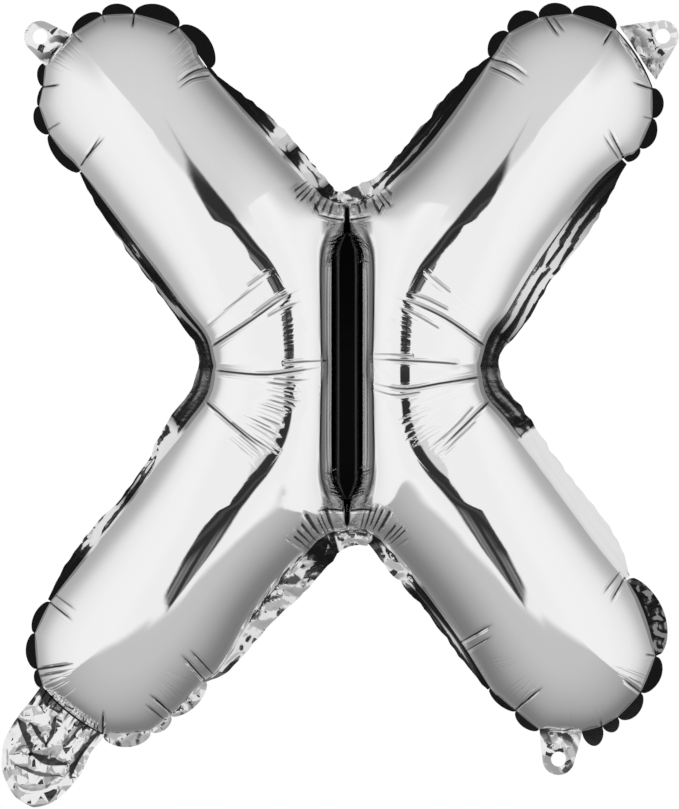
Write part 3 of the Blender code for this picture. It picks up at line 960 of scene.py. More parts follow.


# %% [markdown]
# ## Pinches and puckers
# Where the weld bends inwards there is more film than the edge can hold, so the film folds: a
# long crease runs in from every crotch and a short one from every notch, and finer puckers fan
# out between them. A sculptor would draw these by hand. In code, each crease is a line of a few
# points with a width and a depth, and the film is pressed in along its own normal beside that
# line. The section of a crease is two round shoulders that meet in a sharp valley, because that
# is how two swollen parts of film meet. The valley's bottom is finer than the mesh, so the film
# also carries how far each vertex is from the line, and the finish draws the sharp bottom as
# bump relief and paints a thin line of shade into the colour along it.

# %% Creases: width, depth, sharpness, then points as X and Z
CREASES = (
    # The left crotch, from the top down.
    (2.4, 0.22, 0.25, (-66.0, 17.6), (-50.4, 30.1), (-38.0, 39.2)),
    (1.8, 0.12, 0.30, (-46.0, 36.4), (-39.0, 41.6), (-33.4, 44.6)),
    (3.4, 0.62, 0.95, (-63.5, 8.6), (-45.3, 20.4), (-30.1, 31.0), (-20.4, 36.4)),
    (2.2, 0.22, 0.45, (-44.0, 23.0), (-34.0, 30.4), (-25.4, 35.4)),
    (2.2, 0.20, 0.40, (-37.0, 22.6), (-27.6, 27.6), (-20.0, 30.4)),
    (3.4, 0.60, 0.90, (-61.6, -2.0), (-40.2, -4.0), (-25.0, -2.6), (-8.0, 0.2)),
    (2.0, 0.30, 0.60, (-30.0, 1.2), (-20.0, 2.0), (-6.4, 2.6)),
    (2.0, 0.20, 0.45, (-34.0, -5.8), (-24.0, -6.6), (-16.0, -6.0)),
    (3.0, 0.50, 0.90, (-66.0, -16.0), (-51.8, -28.2), (-38.4, -39.0)),
    (2.2, 0.26, 0.55, (-54.0, -25.4), (-44.0, -33.0), (-35.4, -38.4)),
    (1.8, 0.18, 0.40, (-50.0, -31.4), (-43.0, -37.4), (-38.6, -41.6)),
    # The right crotch, from the top down.
    (1.8, 0.14, 0.30, (48.0, 33.6), (40.6, 39.6), (34.4, 45.4)),
    (3.2, 0.55, 0.90, (64.6, 8.7), (46.7, 21.3), (30.5, 29.0), (21.0, 32.0)),
    (2.0, 0.22, 0.50, (47.0, 25.6), (36.0, 31.0), (26.4, 34.0)),
    (2.0, 0.20, 0.45, (43.0, 17.0), (31.0, 24.0), (22.4, 28.0)),
    (2.4, 0.34, 0.70, (52.4, 0.9), (30.1, 2.3), (8.0, 3.3)),
    (1.8, 0.16, 0.40, (31.0, 4.6), (20.0, 5.4), (8.6, 5.6)),
    (3.4, 0.60, 0.90, (62.4, -5.0), (43.9, -7.9), (25.9, -10.6), (8.0, -7.0)),
    (2.0, 0.24, 0.50, (34.0, -12.0), (22.0, -13.4), (9.4, -10.0)),
    (2.8, 0.44, 0.80, (66.2, -16.0), (54.6, -27.3), (41.9, -39.4)),
    (1.8, 0.20, 0.45, (59.0, -18.4), (47.6, -30.0), (37.0, -38.4)),
    (1.8, 0.18, 0.40, (60.0, -25.0), (51.0, -33.4), (43.6, -41.4)),
    # The deepest pinches run in from the necks of the ends.
    (2.6, 0.80, 0.95, (-123.8, 92.0), (-113.5, 107.4)),
    (2.0, 0.45, 0.70, (-121.4, 95.8), (-111.6, 106.6)),
    (2.8, 0.90, 1.00, (-61.0, 138.8), (-70.0, 137.0), (-79.6, 130.6)),
    (2.0, 0.45, 0.70, (-63.0, 134.6), (-72.0, 132.8), (-79.0, 127.6)),
    (2.8, 0.90, 1.00, (65.6, 142.7), (76.0, 139.4), (85.3, 132.6)),
    (2.0, 0.50, 0.75, (66.0, 138.6), (75.0, 134.6), (82.6, 129.4)),
    (2.6, 0.80, 0.95, (129.0, 94.4), (120.7, 110.8)),
    (1.8, 0.40, 0.60, (126.0, 95.4), (118.0, 107.8)),
    (2.4, 0.66, 0.90, (-138.4, -108.6), (-126.4, -118.4)),
    (1.8, 0.35, 0.55, (-136.0, -105.0), (-125.0, -113.4)),
    (2.8, 0.90, 1.00, (-64.7, -146.7), (-77.4, -132.6)),
    (2.0, 0.50, 0.75, (-62.0, -142.6), (-73.4, -130.4)),
    (2.6, 0.75, 0.95, (51.6, -128.4), (68.2, -119.0)),
    (2.0, 0.40, 0.65, (53.4, -132.8), (68.0, -124.4)),
    (2.6, 0.80, 0.95, (129.2, -97.0), (121.6, -110.2)),
    (1.8, 0.40, 0.65, (126.4, -95.0), (118.0, -106.2)),
    # Short pinches at the notches round the ends.
    (2.0, 0.60, 0.90, (-98.3, 164.0), (-99.4, 156.0)),
    (2.0, 0.55, 0.85, (-141.8, 129.0), (-132.4, 130.3)),
    (1.8, 0.40, 0.60, (-126.6, 153.8), (-122.4, 149.6)),
    (1.4, 0.30, 0.50, (-113.4, 163.2), (-112.0, 158.6)),
    (1.8, 0.50, 0.80, (-76.9, 157.6), (-83.2, 153.4)),
    (1.6, 0.36, 0.55, (-139.4, 108.6), (-132.2, 113.0)),
    (2.2, 0.65, 0.90, (91.8, 161.8), (98.6, 151.8)),
    (1.6, 0.36, 0.60, (95.2, 161.6), (101.0, 154.0)),
    (2.0, 0.60, 0.85, (122.8, 155.6), (118.0, 147.8)),
    (2.0, 0.60, 0.85, (141.6, 128.2), (131.6, 131.6)),
    (1.4, 0.30, 0.50, (141.4, 114.2), (136.6, 115.4)),
    (2.0, 0.60, 0.85, (-144.6, -140.6), (-125.6, -137.8)),
    (1.6, 0.40, 0.55, (-143.0, -143.8), (-128.0, -141.0)),
    (2.0, 0.65, 0.90, (-113.4, -171.6), (-112.8, -158.6)),
    (2.4, 0.75, 0.95, (-79.6, -162.2), (-92.0, -151.4)),
    (1.8, 0.45, 0.65, (-82.6, -165.0), (-94.0, -156.0)),
    (2.2, 0.65, 0.90, (77.4, -159.6), (91.4, -148.0)),
    (1.8, 0.45, 0.75, (136.8, -151.8), (127.4, -144.6)),
    (1.6, 0.40, 0.65, (118.2, -172.2), (117.2, -162.6)),
    (1.4, 0.34, 0.55, (142.6, -134.0), (137.6, -133.4)),
    # Where the wall of each crotch folds over onto the tubes.
    (1.6, 0.34, 0.85, (-1.2, 67.6), (-6.0, 68.2), (-14.6, 70.6)),
    (1.6, 0.34, 0.85, (1.2, 67.6), (5.0, 68.2), (11.6, 69.6)),
    (1.4, 0.30, 0.90, (-15.0, 75.6), (-12.6, 70.0)),
    (1.4, 0.30, 0.90, (16.6, 75.0), (14.0, 70.0)),
    (1.6, 0.26, 0.70, (-1.0, -66.8), (-9.0, -66.4), (-14.4, -67.6)),
    (1.6, 0.26, 0.70, (1.2, -66.8), (8.0, -66.4), (14.0, -67.6)),
)
print("creases", len(CREASES))

# %% Distance to a crease and how far along it
def beside(points, line):
    """Signed distance of points from a line, and the share of its length at the nearest place."""
    line = np.array(line, float)
    lengths = np.linalg.norm(np.diff(line, axis=0), axis=1)
    total = lengths.sum()
    best = np.full(len(points), 1e9)
    signed = np.full(len(points), 1e9)
    share = np.zeros(len(points))
    run = 0.0
    for start, stop, length in zip(line, line[1:], lengths):
        step = (stop - start) / length
        at = np.clip((points - start) @ step, 0.0, length)
        off = points - (start + at[:, None] * step)
        gap = np.linalg.norm(off, axis=1)
        nearer = gap < best
        best = np.where(nearer, gap, best)
        side = np.sign(step[0] * off[:, 1] - step[1] * off[:, 0])
        signed = np.where(nearer, gap * np.where(side == 0, 1.0, side), signed)
        share = np.where(nearer, (run + at) / total, share)
        run += length
    return signed, share


# %% Sort the creases into layers in which none lie close together
def line_points(line):
    """A dozen points along a crease."""
    return curve(line, np.linspace(0.0, 1.0, 12))


FOLD_REACH = 3.0  # a vertex this far from a fold still knows about it, mm
layers = {layer: [] for layer in FOLD_LAYERS}
for crease in CREASES:
    own = line_points(crease[3:])
    room_left = {}
    for layer, members in layers.items():
        gaps = [np.linalg.norm(own[:, None] - line_points(m[3:])[None], axis=2).min() for m in members]
        room_left[layer] = min(gaps, default=99.0)
    free = [layer for layer in FOLD_LAYERS if room_left[layer] > 2.2 * FOLD_REACH]
    layers[free[0] if free else max(room_left, key=room_left.get)].append(crease)
print("creases in each layer", {layer: len(members) for layer, members in layers.items()})

# %% Relief of the creases, and what the finish needs to know about them
FAR_OFF = 50.0
FADE_FROM = 0.62  # the share of its length from which a crease fades out


def crease_relief(points):
    """How far the film is pressed in, and for each layer the distance to a fold and its depth."""
    pressed = np.zeros(len(points))
    marks = {}
    for layer, members in layers.items():
        best = np.full(len(points), FAR_OFF)
        depth_here = np.zeros(len(points))
        for width, depth, sharp, *line in members:
            ends = np.array(line)
            reach = max(width, FOLD_REACH) + 1.0
            near = np.all((points > ends.min(0) - reach) & (points < ends.max(0) + reach), axis=1)
            if not near.any():
                continue
            signed, share = beside(points[near], line_points(line))
            gap = np.abs(signed)
            narrowing = 1.0 - 0.4 * share
            side = np.clip(1.0 - gap / (width * narrowing), 0.0, 1.0)
            fade = (1.0 - smooth(share, FADE_FROM, 1.0)) * smooth(share, 0.0, 0.05)
            pressed[near] = np.maximum(pressed[near], depth * side**2 * fade)
            reached = 1.0 - smooth(gap, 0.6 * FOLD_REACH, FOLD_REACH)
            strength = min(1.25 * sharp, 1.0) * fade * reached
            closer = gap < np.abs(best[near])
            best[near] = np.where(closer, signed, best[near])
            depth_here[near] = np.where(closer, strength, depth_here[near])
        marks["fold_gap_" + layer] = best
        marks["fold_depth_" + layer] = depth_here
    return pressed, marks


# %% [markdown]
# Puckers are many small creases side by side. Round an end they run towards its middle, and in a
# crotch they run out from the middle of the bend. One list covers both: a centre, a range of
# directions, how many folds lie in it, where along the radius they start and stop, and how deep
# they are. A little random shift keeps them from looking machined.

# %% Puckers
PUCKERS = (  # centre, from and to direction, folds, near and far radius, depth
    ((-101.8, 122.6), 22.0, 54.0, 9, 25.0, 41.0, 0.13),
    ((-101.8, 122.6), 132.0, 158.0, 8, 29.0, 41.0, 0.09),
    ((-101.8, 122.6), 198.0, 216.0, 5, 30.0, 40.0, 0.09),
    ((102.2, 123.1), 92.0, 112.0, 6, 30.0, 41.0, 0.10),
    ((102.2, 123.1), 132.0, 154.0, 6, 25.0, 41.0, 0.09),
    ((102.2, 123.1), -30.0, 4.0, 8, 31.0, 40.0, 0.05),
    ((-104.5, -131.4), 306.0, 338.0, 9, 20.0, 40.0, 0.20),
    ((-104.5, -131.4), 190.0, 226.0, 10, 27.0, 40.0, 0.17),
    ((-104.5, -131.4), 228.0, 262.0, 9, 31.0, 41.0, 0.22),
    ((-104.5, -131.4), 262.0, 276.0, 4, 32.0, 41.0, 0.08),
    ((102.2, -129.5), 186.0, 204.0, 6, 25.0, 42.0, 0.13),
    ((102.2, -129.5), 207.0, 234.0, 9, 23.0, 42.0, 0.19),
    ((102.2, -129.5), 262.0, 302.0, 9, 31.0, 41.0, 0.10),
    ((102.2, -129.5), 330.0, 352.0, 7, 26.0, 41.0, 0.15),
    # In the crotches, from the middle of each bend.
    ((-94.0, 0.0), -42.0, -4.0, 21, 52.0, 67.0, 0.34),
    ((-94.0, 0.0), 6.0, 24.0, 9, 58.0, 72.0, 0.07),
    ((-94.0, 0.0), 24.0, 44.0, 9, 38.0, 54.0, 0.05),
    ((95.0, 1.0), 156.0, 176.0, 10, 58.0, 74.0, 0.07),
    ((95.0, 1.0), 136.0, 156.0, 9, 38.0, 54.0, 0.05),
    ((95.0, 1.0), 192.0, 222.0, 14, 46.0, 68.0, 0.12),
    ((0.0, 100.0), 216.0, 264.0, 7, 20.0, 29.0, 0.80),
    ((0.0, 100.0), 276.0, 322.0, 7, 20.0, 28.5, 0.80),
    ((1.0, -100.0), 100.0, 146.0, 8, 22.0, 33.0, 0.90),
    ((1.0, -100.0), 36.0, 80.0, 8, 22.0, 33.0, 0.90),
    # Small ripples where the weld down the middle comes to a point.
    ((-24.0, 54.0), -18.0, 18.0, 8, 15.0, 22.5, 0.46),
    ((24.0, 54.0), 162.0, 198.0, 8, 15.0, 22.5, 0.46),
    ((-24.0, -54.0), -18.0, 18.0, 8, 15.0, 22.5, 0.46),
    ((24.0, -54.0), 162.0, 198.0, 8, 15.0, 22.5, 0.46),
)
SHIFT = 0.45  # how far a fold may leave its even place, in folds,
STRENGTH = (0.45, 1.0)  # how deep it is,
STAGGER = 0.30  # and how far it may slide along the radius, as a share of its length
print("fans of puckers", len(PUCKERS))


def pucker_relief(points):
    """How far the puckers press the film in, and their phase and depth for the finish."""
    pressed = np.zeros(len(points))
    phases = np.zeros(len(points))
    depths = np.zeros(len(points))
    for centre, start, stop, folds, near, far, depth in PUCKERS:
        offset = points - np.array(centre)
        radius = np.linalg.norm(offset, axis=1)
        angle = np.degrees(np.arctan2(offset[:, 1], offset[:, 0]))
        middle = (start + stop) / 2
        angle = (angle - middle + 180.0) % 360.0 - 180.0 + middle
        knots = np.arange(folds + 3) - 1
        shift = rng.uniform(-SHIFT, SHIFT, folds + 3)
        strength = rng.uniform(*STRENGTH, folds + 3)
        slide = rng.uniform(-1.0, 1.0, folds + 3)
        phase = (angle - start) / (stop - start) * folds
        phase = phase + np.interp(phase, knots, shift)
        weight = np.interp(phase, knots, strength)
        radius = radius + STAGGER * (far - near) * np.interp(phase, knots, slide)
        inside = smooth(angle, start - 1.0, start + 3.0) * (1 - smooth(angle, stop - 3.0, stop + 1.0))
        span = smooth(radius, near, near + 0.6 * (far - near)) * (1 - smooth(radius, far, far + 4.0))
        here = depth * weight * inside * span
        wave = 1.0 - np.abs(np.sin(np.pi * phase))
        pressed += here * wave**1.4
        phases = np.where(here > depths, phase, phases)
        depths = np.maximum(depths, here)
    return pressed, {"pucker_phase": phases, "pucker_depth": depths}


# %% [markdown]
# The last relief is a slow unevenness all over. Real film is never tensioned evenly, so the edges
# of its reflections wander a little instead of running like a ruler. A few long waves in random
# directions are enough. Then the film is pressed in along its normals. The creases are placed in
# the picture's plane, so each vertex is first projected there from the camera. The valley beside
# the middle weld is so deep that the film in it mirrors other film, so its bands of dark and light
# are painted into the finish as shade, from a table.

# %% Slow unevenness
FULL_TURN = 2 * np.pi
LONGEST_WAVE = 46.0
WAVES = 9
UNEVENNESS = 0.022
WANDER = [
    (rng.uniform(0.0, FULL_TURN), LONGEST_WAVE * rng.uniform(0.45, 1.0), rng.uniform(0.0, FULL_TURN))
    for _ in range(WAVES)
]


def wander(points, amount):
    """Smooth random relief made of long waves in random directions."""
    total = np.zeros(len(points))
    for bearing, length, shift in WANDER:
        wave = points[:, 0] * np.cos(bearing) + points[:, 1] * np.sin(bearing)
        total += np.sin(FULL_TURN * wave / length + shift) * length / LONGEST_WAVE
    return amount * total / np.sqrt(len(WANDER))


def as_seen(points):
    """Where points show in the letter's plane, seen from the camera."""
    eye = np.array((VIEW_MIDDLE[0], VIEW_MIDDLE[1])) / MM
    scale = VIEW_DISTANCE / MM / (VIEW_DISTANCE / MM + points[:, 1])
    return eye + (points[:, (0, 2)] - eye) * scale[:, None]


# %% Painted shade at the dark bottom of the valley beside the middle weld
VALLEY = (  # mm from the strip, strength of the painted shade
    (0.0, 1.0), (0.3, 0.9), (0.6, 0.1), (2.4, 0.1), (3.0, 0.38), (6.2, 0.36), (6.9, 0.74), (9.0, 0.80),
    (9.7, 0.0),
)
VALLEY_ENDS = (-4.0, 6.0)  # heights from the strip's tip between which the valley fades out
SLIT_HALF = (0.6, 1.5)  # the slit past the tip has painted shade inside the first and none past the second,
SLIT_START = 52.0
SLIT_END = 74.0
CAP_HALF = (10.5, 12.5)  # and the film over the tip has a grey painted shade: so far aside,
CAP_STARTS = (60.0, 62.0)  # from these heights
CAP_STOPS = (66.6, 67.6)  # to these
CAP_SHADE = 0.45


def valley_shade(points):
    """Painted shade for film that stands against the weld strip, where little light reaches; returns 0
    to 1.
    """
    aside, high = np.abs(points[:, 0]), np.abs(points[:, 1])
    arch = curve([(0.0, STRIP_TIP), *STRIP_ARCH], np.linspace(0.0, 1.0, 200))
    edge = np.interp(high, arch[::-1, 1], arch[::-1, 0], right=0.0)
    narrow = 1.0 - 0.2 * np.exp(-(((points[:, 1] + 1.0) / 9.0) ** 2))
    strip = np.interp((aside - edge) / narrow, *np.array(VALLEY).T)
    along = 1.0 - smooth(high - STRIP_TIP, *VALLEY_ENDS)
    slit = (1.0 - smooth(aside, *SLIT_HALF)) * (high < SLIT_END) * (high > SLIT_START)
    cap = (1.0 - smooth(aside, *CAP_HALF)) * smooth(high, *CAP_STARTS)
    cap = CAP_SHADE * cap * (1.0 - smooth(high, *CAP_STOPS))
    return np.clip(np.maximum(np.maximum(strip * along, slit), cap), 0.0, 1.0)


# %% Press the relief into the film
for side_name, film in films.items():
    points = coordinates(film)
    normals = vertex_normals(film)
    if normals[:, 1].mean() > 0:
        film.data.flip_normals()
        normals = -normals
    flat = as_seen(points)
    creased, marks = crease_relief(flat)
    puckered, more_marks = pucker_relief(flat)
    pressed = creased + puckered + wander(flat, UNEVENNESS)
    pressed = np.where(points[:, 1] > -WELD_GAP - 0.01, 0.0, pressed)
    set_coordinates(film, points - normals * pressed[:, None])
    for name, values in {**marks, **more_marks, "valley_shade": valley_shade(flat)}.items():
        mark(film, name, values)
    bpy.ops.object.select_all(action="DESELECT")
    film.select_set(True)
    bpy.context.view_layer.objects.active = film
    bpy.ops.object.shade_smooth()
    film.data.materials.clear()
    film.data.materials.append(mirror_film)
    print(film.name, "deepest pinch", round(float(pressed.max()), 2), "mm")


# %% [markdown]
# The back of the balloon is the same sheets seen from behind. They are copied, mirrored through
# the letter's plane and their faces are turned round, so that all sheets point out of the balloon.

# %% Back film
film_pieces = []
for side_name, film in films.items():
    back = film.copy()
    back.data = film.data.copy()
    back.name = "back_mirror_" + side_name
    bpy.context.scene.collection.objects.link(back)
    points = coordinates(back)
    points[:, 1] = -points[:, 1]
    set_coordinates(back, points)
    back.data.flip_normals()
    film_pieces += [(film, "front_film_" + side_name), (back, "back_film_" + side_name)]
print("film pieces", [piece.name for piece, _ in film_pieces])

# %% [markdown]
# ## The weld down the middle
# Between the two tubes the films are welded to each other in a flat strip. It lies at the bottom
# of a deep valley, where it mirrors little but the dark behind the lens, and its colour is painted
# fully dark as shade. It is a grid narrowed to a point at both ends, given a wall by Solidify.

# %% Middle weld
FILM_WALL = 0.24


def solidify(piece, wall=FILM_WALL):
    """Give a flat sheet a wall on both sides of the letter's plane."""
    bpy.context.view_layer.objects.active = piece
    made = piece.modifiers.new("wall", "SOLIDIFY")
    made.thickness = wall * MM
    made.offset = 0.0
    made.use_even_offset = False
    bpy.ops.object.modifier_apply(modifier=made.name)


def finish_sheet(piece, film, sharpest):
    """Give a sheet its wall and its film, and round its shading where it bends less than an angle."""
    solidify(piece)
    bpy.ops.object.shade_smooth_by_angle(angle=np.radians(sharpest))
    piece.data.materials.append(film)


up_line = np.linspace(-1.0, 1.0, 81)
arch = curve([(0.0, STRIP_TIP)] + list(STRIP_ARCH), np.linspace(0.0, 1.0, 200))
half = np.interp(np.abs(up_line) * STRIP_TIP, arch[::-1, 1], arch[::-1, 0]) + 0.3
across = np.linspace(-1.0, 1.0, 7)
table = np.zeros((81, 7, 3))
table[:, :, 0] = half[:, None] * across[None, :]
table[:, :, 2] = (up_line * STRIP_TIP)[:, None]
middle_weld = join("middle_weld", [patch("strip", table)])
solidify(middle_weld)
middle_weld.data.materials.append(mirror_film)
# the whole strip is painted fully dark as shade
mark(middle_weld, "valley_shade", np.ones(len(middle_weld.data.vertices)))
print("middle weld", round(2 * STRIP_TIP), "mm long")

# %% [markdown]
# ## Scalloped margins
# Outside the weld the film is cut off in a row of scallops, which stay flat while the balloon
# swells. Each scallop is a small grid: one edge on the weld, the other along the scallop's round.
# Because the scallops face the lens they mirror black, and their colour is painted darker still as
# shade. A few are curled over and crumpled instead, and show silver, with shade painted on their
# facets that lean one way. Folds with flat faces and sharp edges are what crumpled foil is made of,
# and triangle waves in several directions give them.

# %% Folds with flat faces
SHORTER = 0.74  # how much shorter each further set of folds is
FOLD_EDGE = 12.0  # degrees: past this the shading breaks at the edge of a fold


def triangle(value):
    """A wave of straight flanks between -1 and 1."""
    return 4.0 * np.abs(value - np.floor(value + 0.5)) - 1.0


def crumple(points, seed, longest, steepness, count=6):
    """Relief of crumpled foil: folds in random directions, each with straight flanks."""
    own = np.random.default_rng(seed)
    total = np.zeros(points.shape[:-1])
    for index in range(count):
        bearing = own.uniform(0.0, np.pi)
        length = longest * SHORTER**index
        across = points[..., 0] * np.cos(bearing) + points[..., 1] * np.sin(bearing)
        beside = -points[..., 0] * np.sin(bearing) + points[..., 1] * np.cos(bearing)
        across = across + 0.18 * length * triangle(beside / (1.7 * length) + own.uniform())
        total += triangle(across / length + own.uniform()) * length * own.uniform(0.5, 1.0)
    return total * steepness / 4.0 / np.sqrt(count)


def facet_painted_shade(table, bearing, low, high):
    """Painted shade on the flat faces of a sheet that lean one way: 0 at a slope of low and 1 at high.
    """
    normal = np.cross(np.gradient(table, axis=1), np.gradient(table, axis=0))
    normal = normal / np.maximum(np.abs(normal[..., 1:2]), 1e-9) * np.sign(normal[..., 1:2] + 1e-12)
    way = towards(bearing)
    return smooth(normal[..., 0] * way[0] + normal[..., 2] * way[1], low, high)


# %% Scallops round an end
FLAT_PAINTED_SHADE = 0.78  # painted shade on flat film, which faces the lens and mirrors the dark in front of it
LOBE_GRID = (28, 9)
LOBE_EDGE = 40.0
TUCK = 1.6  # how far a scallop reaches in under the weld
SILVER_LOBES = {  # end and direction of a curled lobe: how steeply it leans, how crumpled it is
    ("lower_left", 257.8): (0.30, 0.35), ("lower_left", 290.0): (0.34, 0.45),
    ("lower_left", 307.0): (0.30, 0.45), ("lower_right", 408.0): (0.0, 0.22),
    ("lower_right", 279.0): (0.10, 0.30),
}


def scallop(name, start, stop, reach):
    """One scallop between two notches, as a grid."""
    columns, rows = LOBE_GRID
    along = np.linspace(0.0, 1.0, columns + 1)
    degrees = start + (stop - start) * along
    radius = weld_radius(name, degrees)
    shape = np.sin(np.pi * along) ** 0.55
    tilt = rng.uniform(-0.25, 0.25)
    shape = shape * (1.0 + tilt * (along - 0.5))
    width = 0.35 + max(reach - 0.35, 0.5) * shape
    across = np.linspace(0.0, 1.0, rows + 1)[:, None]
    far = radius[None, :] - TUCK + (width[None, :] + TUCK) * across
    middle = end_axis(name)[0]
    ray = towards(degrees)
    curl = rng.uniform(-0.5, 0.7) * across**2 * shape[None, :] * 0.02 * reach
    x = middle[0] + far * ray[:, 0][None, :]
    z = middle[1] + far * ray[:, 1][None, :]
    lean, unrest = SILVER_LOBES.get((name, start), (0.0, 0.0))
    creased = crumple(np.stack((x, z), axis=-1), int(start), 9.0, unrest, 3)
    creased = creased * smooth(across, 0.1, 0.5)
    out = np.maximum(far - radius[None, :], 0.0)
    table = np.stack((x, curl + lean * out + creased, z), axis=-1)
    # painted shade: facets leaning one way on the curled silver lobes, an even dark on the flat ones
    shade = facet_painted_shade(table, 40.0, 0.30, 0.36) if lean else np.full(x.shape, FLAT_PAINTED_SHADE)
    return patch("scallop", table, shade)


scalloped = []
for name in ENDS:
    pairs = zip(NOTCHES[name], NOTCHES[name][1:])
    lobes = [scallop(name, first[0], second[0], first[2]) for first, second in pairs]
    margin = join("scalloped_margin_" + name, lobes)
    finish_sheet(margin, weld_film, LOBE_EDGE)
    scalloped.append((margin, "scallops_" + name))
print("scalloped margins", len(scalloped))

# %% [markdown]
# ## Side margins
# In the four crotches the margin is one long ribbon. It was flat when it was cut, but the weld
# has shortened, so the ribbon has buckled. It lies in long streaks beside the weld where it faces
# the lens, and in small crumples in the bend, and some stretches lean back and mirror the bright
# walls. A table says where it does which, and the grid between the weld and the cut edge follows.
# The flat stretches, and the crumpled facets that lean one way, are painted darker as shade.

# %% Widths of the side margins: share of the length, width in mm
SIDE_MARGINS = {
    "left": (
        (0.0, 1.0), (0.06, 3.6), (0.17, 4.8), (0.30, 5.4), (0.40, 6.3), (0.47, 7.4), (0.53, 7.9),
        (0.59, 7.4), (0.66, 4.6), (0.71, 3.6), (0.78, 4.2), (0.86, 5.5), (0.93, 5.1), (1.0, 2.0),
    ),
    "right": (
        (0.0, 2.6), (0.05, 7.2), (0.12, 10.6), (0.20, 11.2), (0.29, 10.1), (0.37, 10.4), (0.46, 7.8),
        (0.53, 9.6), (0.59, 9.0), (0.67, 8.0), (0.74, 7.3), (0.82, 7.8), (0.90, 8.8), (0.96, 5.9),
        (1.0, 1.6),
    ),
    "top": (
        (0.0, 1.0), (0.05, 2.0), (0.16, 6.0), (0.26, 7.4), (0.38, 7.0), (0.45, 5.6), (0.50, 6.4),
        (0.55, 8.0), (0.62, 6.0), (0.72, 7.7), (0.84, 7.4), (0.94, 5.4), (1.0, 1.4),
    ),
    "bottom": (
        (0.0, 1.0), (0.06, 4.0), (0.15, 7.6), (0.26, 11.0), (0.37, 12.0), (0.45, 10.4), (0.50, 7.8),
        (0.56, 5.8), (0.66, 6.2), (0.78, 4.8), (0.90, 4.4), (0.97, 2.6), (1.0, 1.0),
    ),
}
MARGIN_UNREST = {  # share of the length, how much it leans back, how streaky and how crumpled it is
    "left": (
        (0.0, 0.0, 0.0, 0.0), (0.12, 0.0, 0.4, 0.0), (0.18, 0.03, 0.8, 0.0), (0.25, 0.0, 0.3, 0.0),
        (0.31, 0.03, 0.8, 0.0), (0.38, 0.0, 0.3, 0.0), (0.45, 0.0, 0.12, 0.0), (0.58, 0.0, 0.12, 0.0),
        (0.64, 0.18, 0.5, 0.3), (0.69, 0.03, 0.5, 0.2), (0.75, 0.0, 0.3, 0.0), (0.84, 0.12, 0.8, 0.3),
        (0.90, 0.0, 0.2, 0.0), (1.0, 0.0, 0.0, 0.0),
    ),
    "right": (
        (0.0, 0.0, 0.1, 0.0), (0.10, 0.02, 0.6, 0.0), (0.20, 0.07, 1.2, 0.0), (0.30, 0.10, 1.2, 0.0),
        (0.37, 0.06, 0.9, 0.0), (0.42, 0.0, 0.3, 0.0), (0.50, 0.0, 0.1, 0.0), (0.60, 0.0, 0.2, 0.0),
        (0.655, 0.0, 0.3, 0.1), (0.665, 0.20, 0.5, 0.05), (0.80, 0.24, 0.6, 0.05),
        (0.95, 0.20, 0.5, 0.0), (1.0, 0.10, 0.2, 0.0),
    ),
    "top": (
        (0.0, 0.0, 0.1, 0.0), (0.14, 0.0, 0.2, 0.0), (0.22, 0.06, 0.5, 0.0), (0.25, 0.20, 0.4, 0.1),
        (0.29, 0.0, 0.2, 0.0), (0.37, 0.16, 0.5, 0.1), (0.41, 0.0, 0.1, 0.0), (0.46, 0.0, 0.2, 0.2),
        (0.48, 0.07, 0.3, 0.9), (0.53, 0.07, 0.3, 0.9), (0.57, 0.10, 0.7, 0.1), (0.66, 0.02, 0.8, 0.0),
        (0.84, 0.0, 0.5, 0.0), (1.0, 0.0, 0.1, 0.0),
    ),
    "bottom": (
        (0.0, 0.12, 0.3, 0.1), (0.12, 0.16, 0.3, 0.2), (0.20, 0.14, 0.5, 0.5), (0.28, 0.02, 0.5, 0.8),
        (0.34, 0.0, 0.4, 0.4), (0.39, 0.0, 0.2, 0.0), (0.46, 0.0, 0.2, 0.1), (0.48, 0.10, 0.3, 0.9),
        (0.53, 0.10, 0.3, 0.9), (0.56, 0.0, 0.2, 0.0), (0.66, 0.14, 0.5, 0.3), (0.72, 0.0, 0.5, 0.0),
        (0.86, 0.06, 0.8, 0.0), (1.0, 0.0, 0.2, 0.0),
    ),
}
STREAKS = ((4.6, 0.085), (2.3, 0.040), (1.2, 0.020))  # distance between streaks and their height

# %% The weld along each ribbon
MARGIN_ENDS = {
    "left": ("upper_left", "lower_left"),
    "right": ("upper_right", "lower_right"),
    "top": ("upper_left", "upper_right"),
    "bottom": ("lower_left", "lower_right"),
}
MARGIN_AWAY = {"left": (-1, 0), "right": (1, 0), "top": (0, 1), "bottom": (0, -1)}
# the way a crumpled facet leans to get painted shade, for each ribbon
MARGIN_PAINTED_SHADE_SIDE = {"left": 150.0, "right": 20.0, "top": 60.0, "bottom": 300.0}
LEFT_NOTCH = [(-137.0, -108.9)]  # where the left ribbon ends, past the start of the lower left arm


def margin_line(name):
    """The weld from one end to the other through a crotch."""
    outer = name in ("left", "right")
    arms, crotches = (ARM_OUTER, CROTCH_OUTER) if outer else (ARM_INNER, CROTCH_INNER)
    halves = []
    for end in MARGIN_ENDS[name]:
        start = LEFT_NOTCH if (name, end) == ("left", "lower_left") else []
        halves.append([*start, *arms[end], *crotches[end]])
    return np.array(halves[0] + halves[1][-2::-1])


for name in MARGIN_ENDS:
    steps = np.linalg.norm(np.diff(margin_line(name), axis=0), axis=1)
    print(name, "ribbon", round(float(steps.sum())), "mm long")


# %% Lay the four ribbons
RIBBON_GRID = (420, 14)
RIBBON_TUCK = 1.4
RAGGED = 0.35  # how uneven the cut edge is


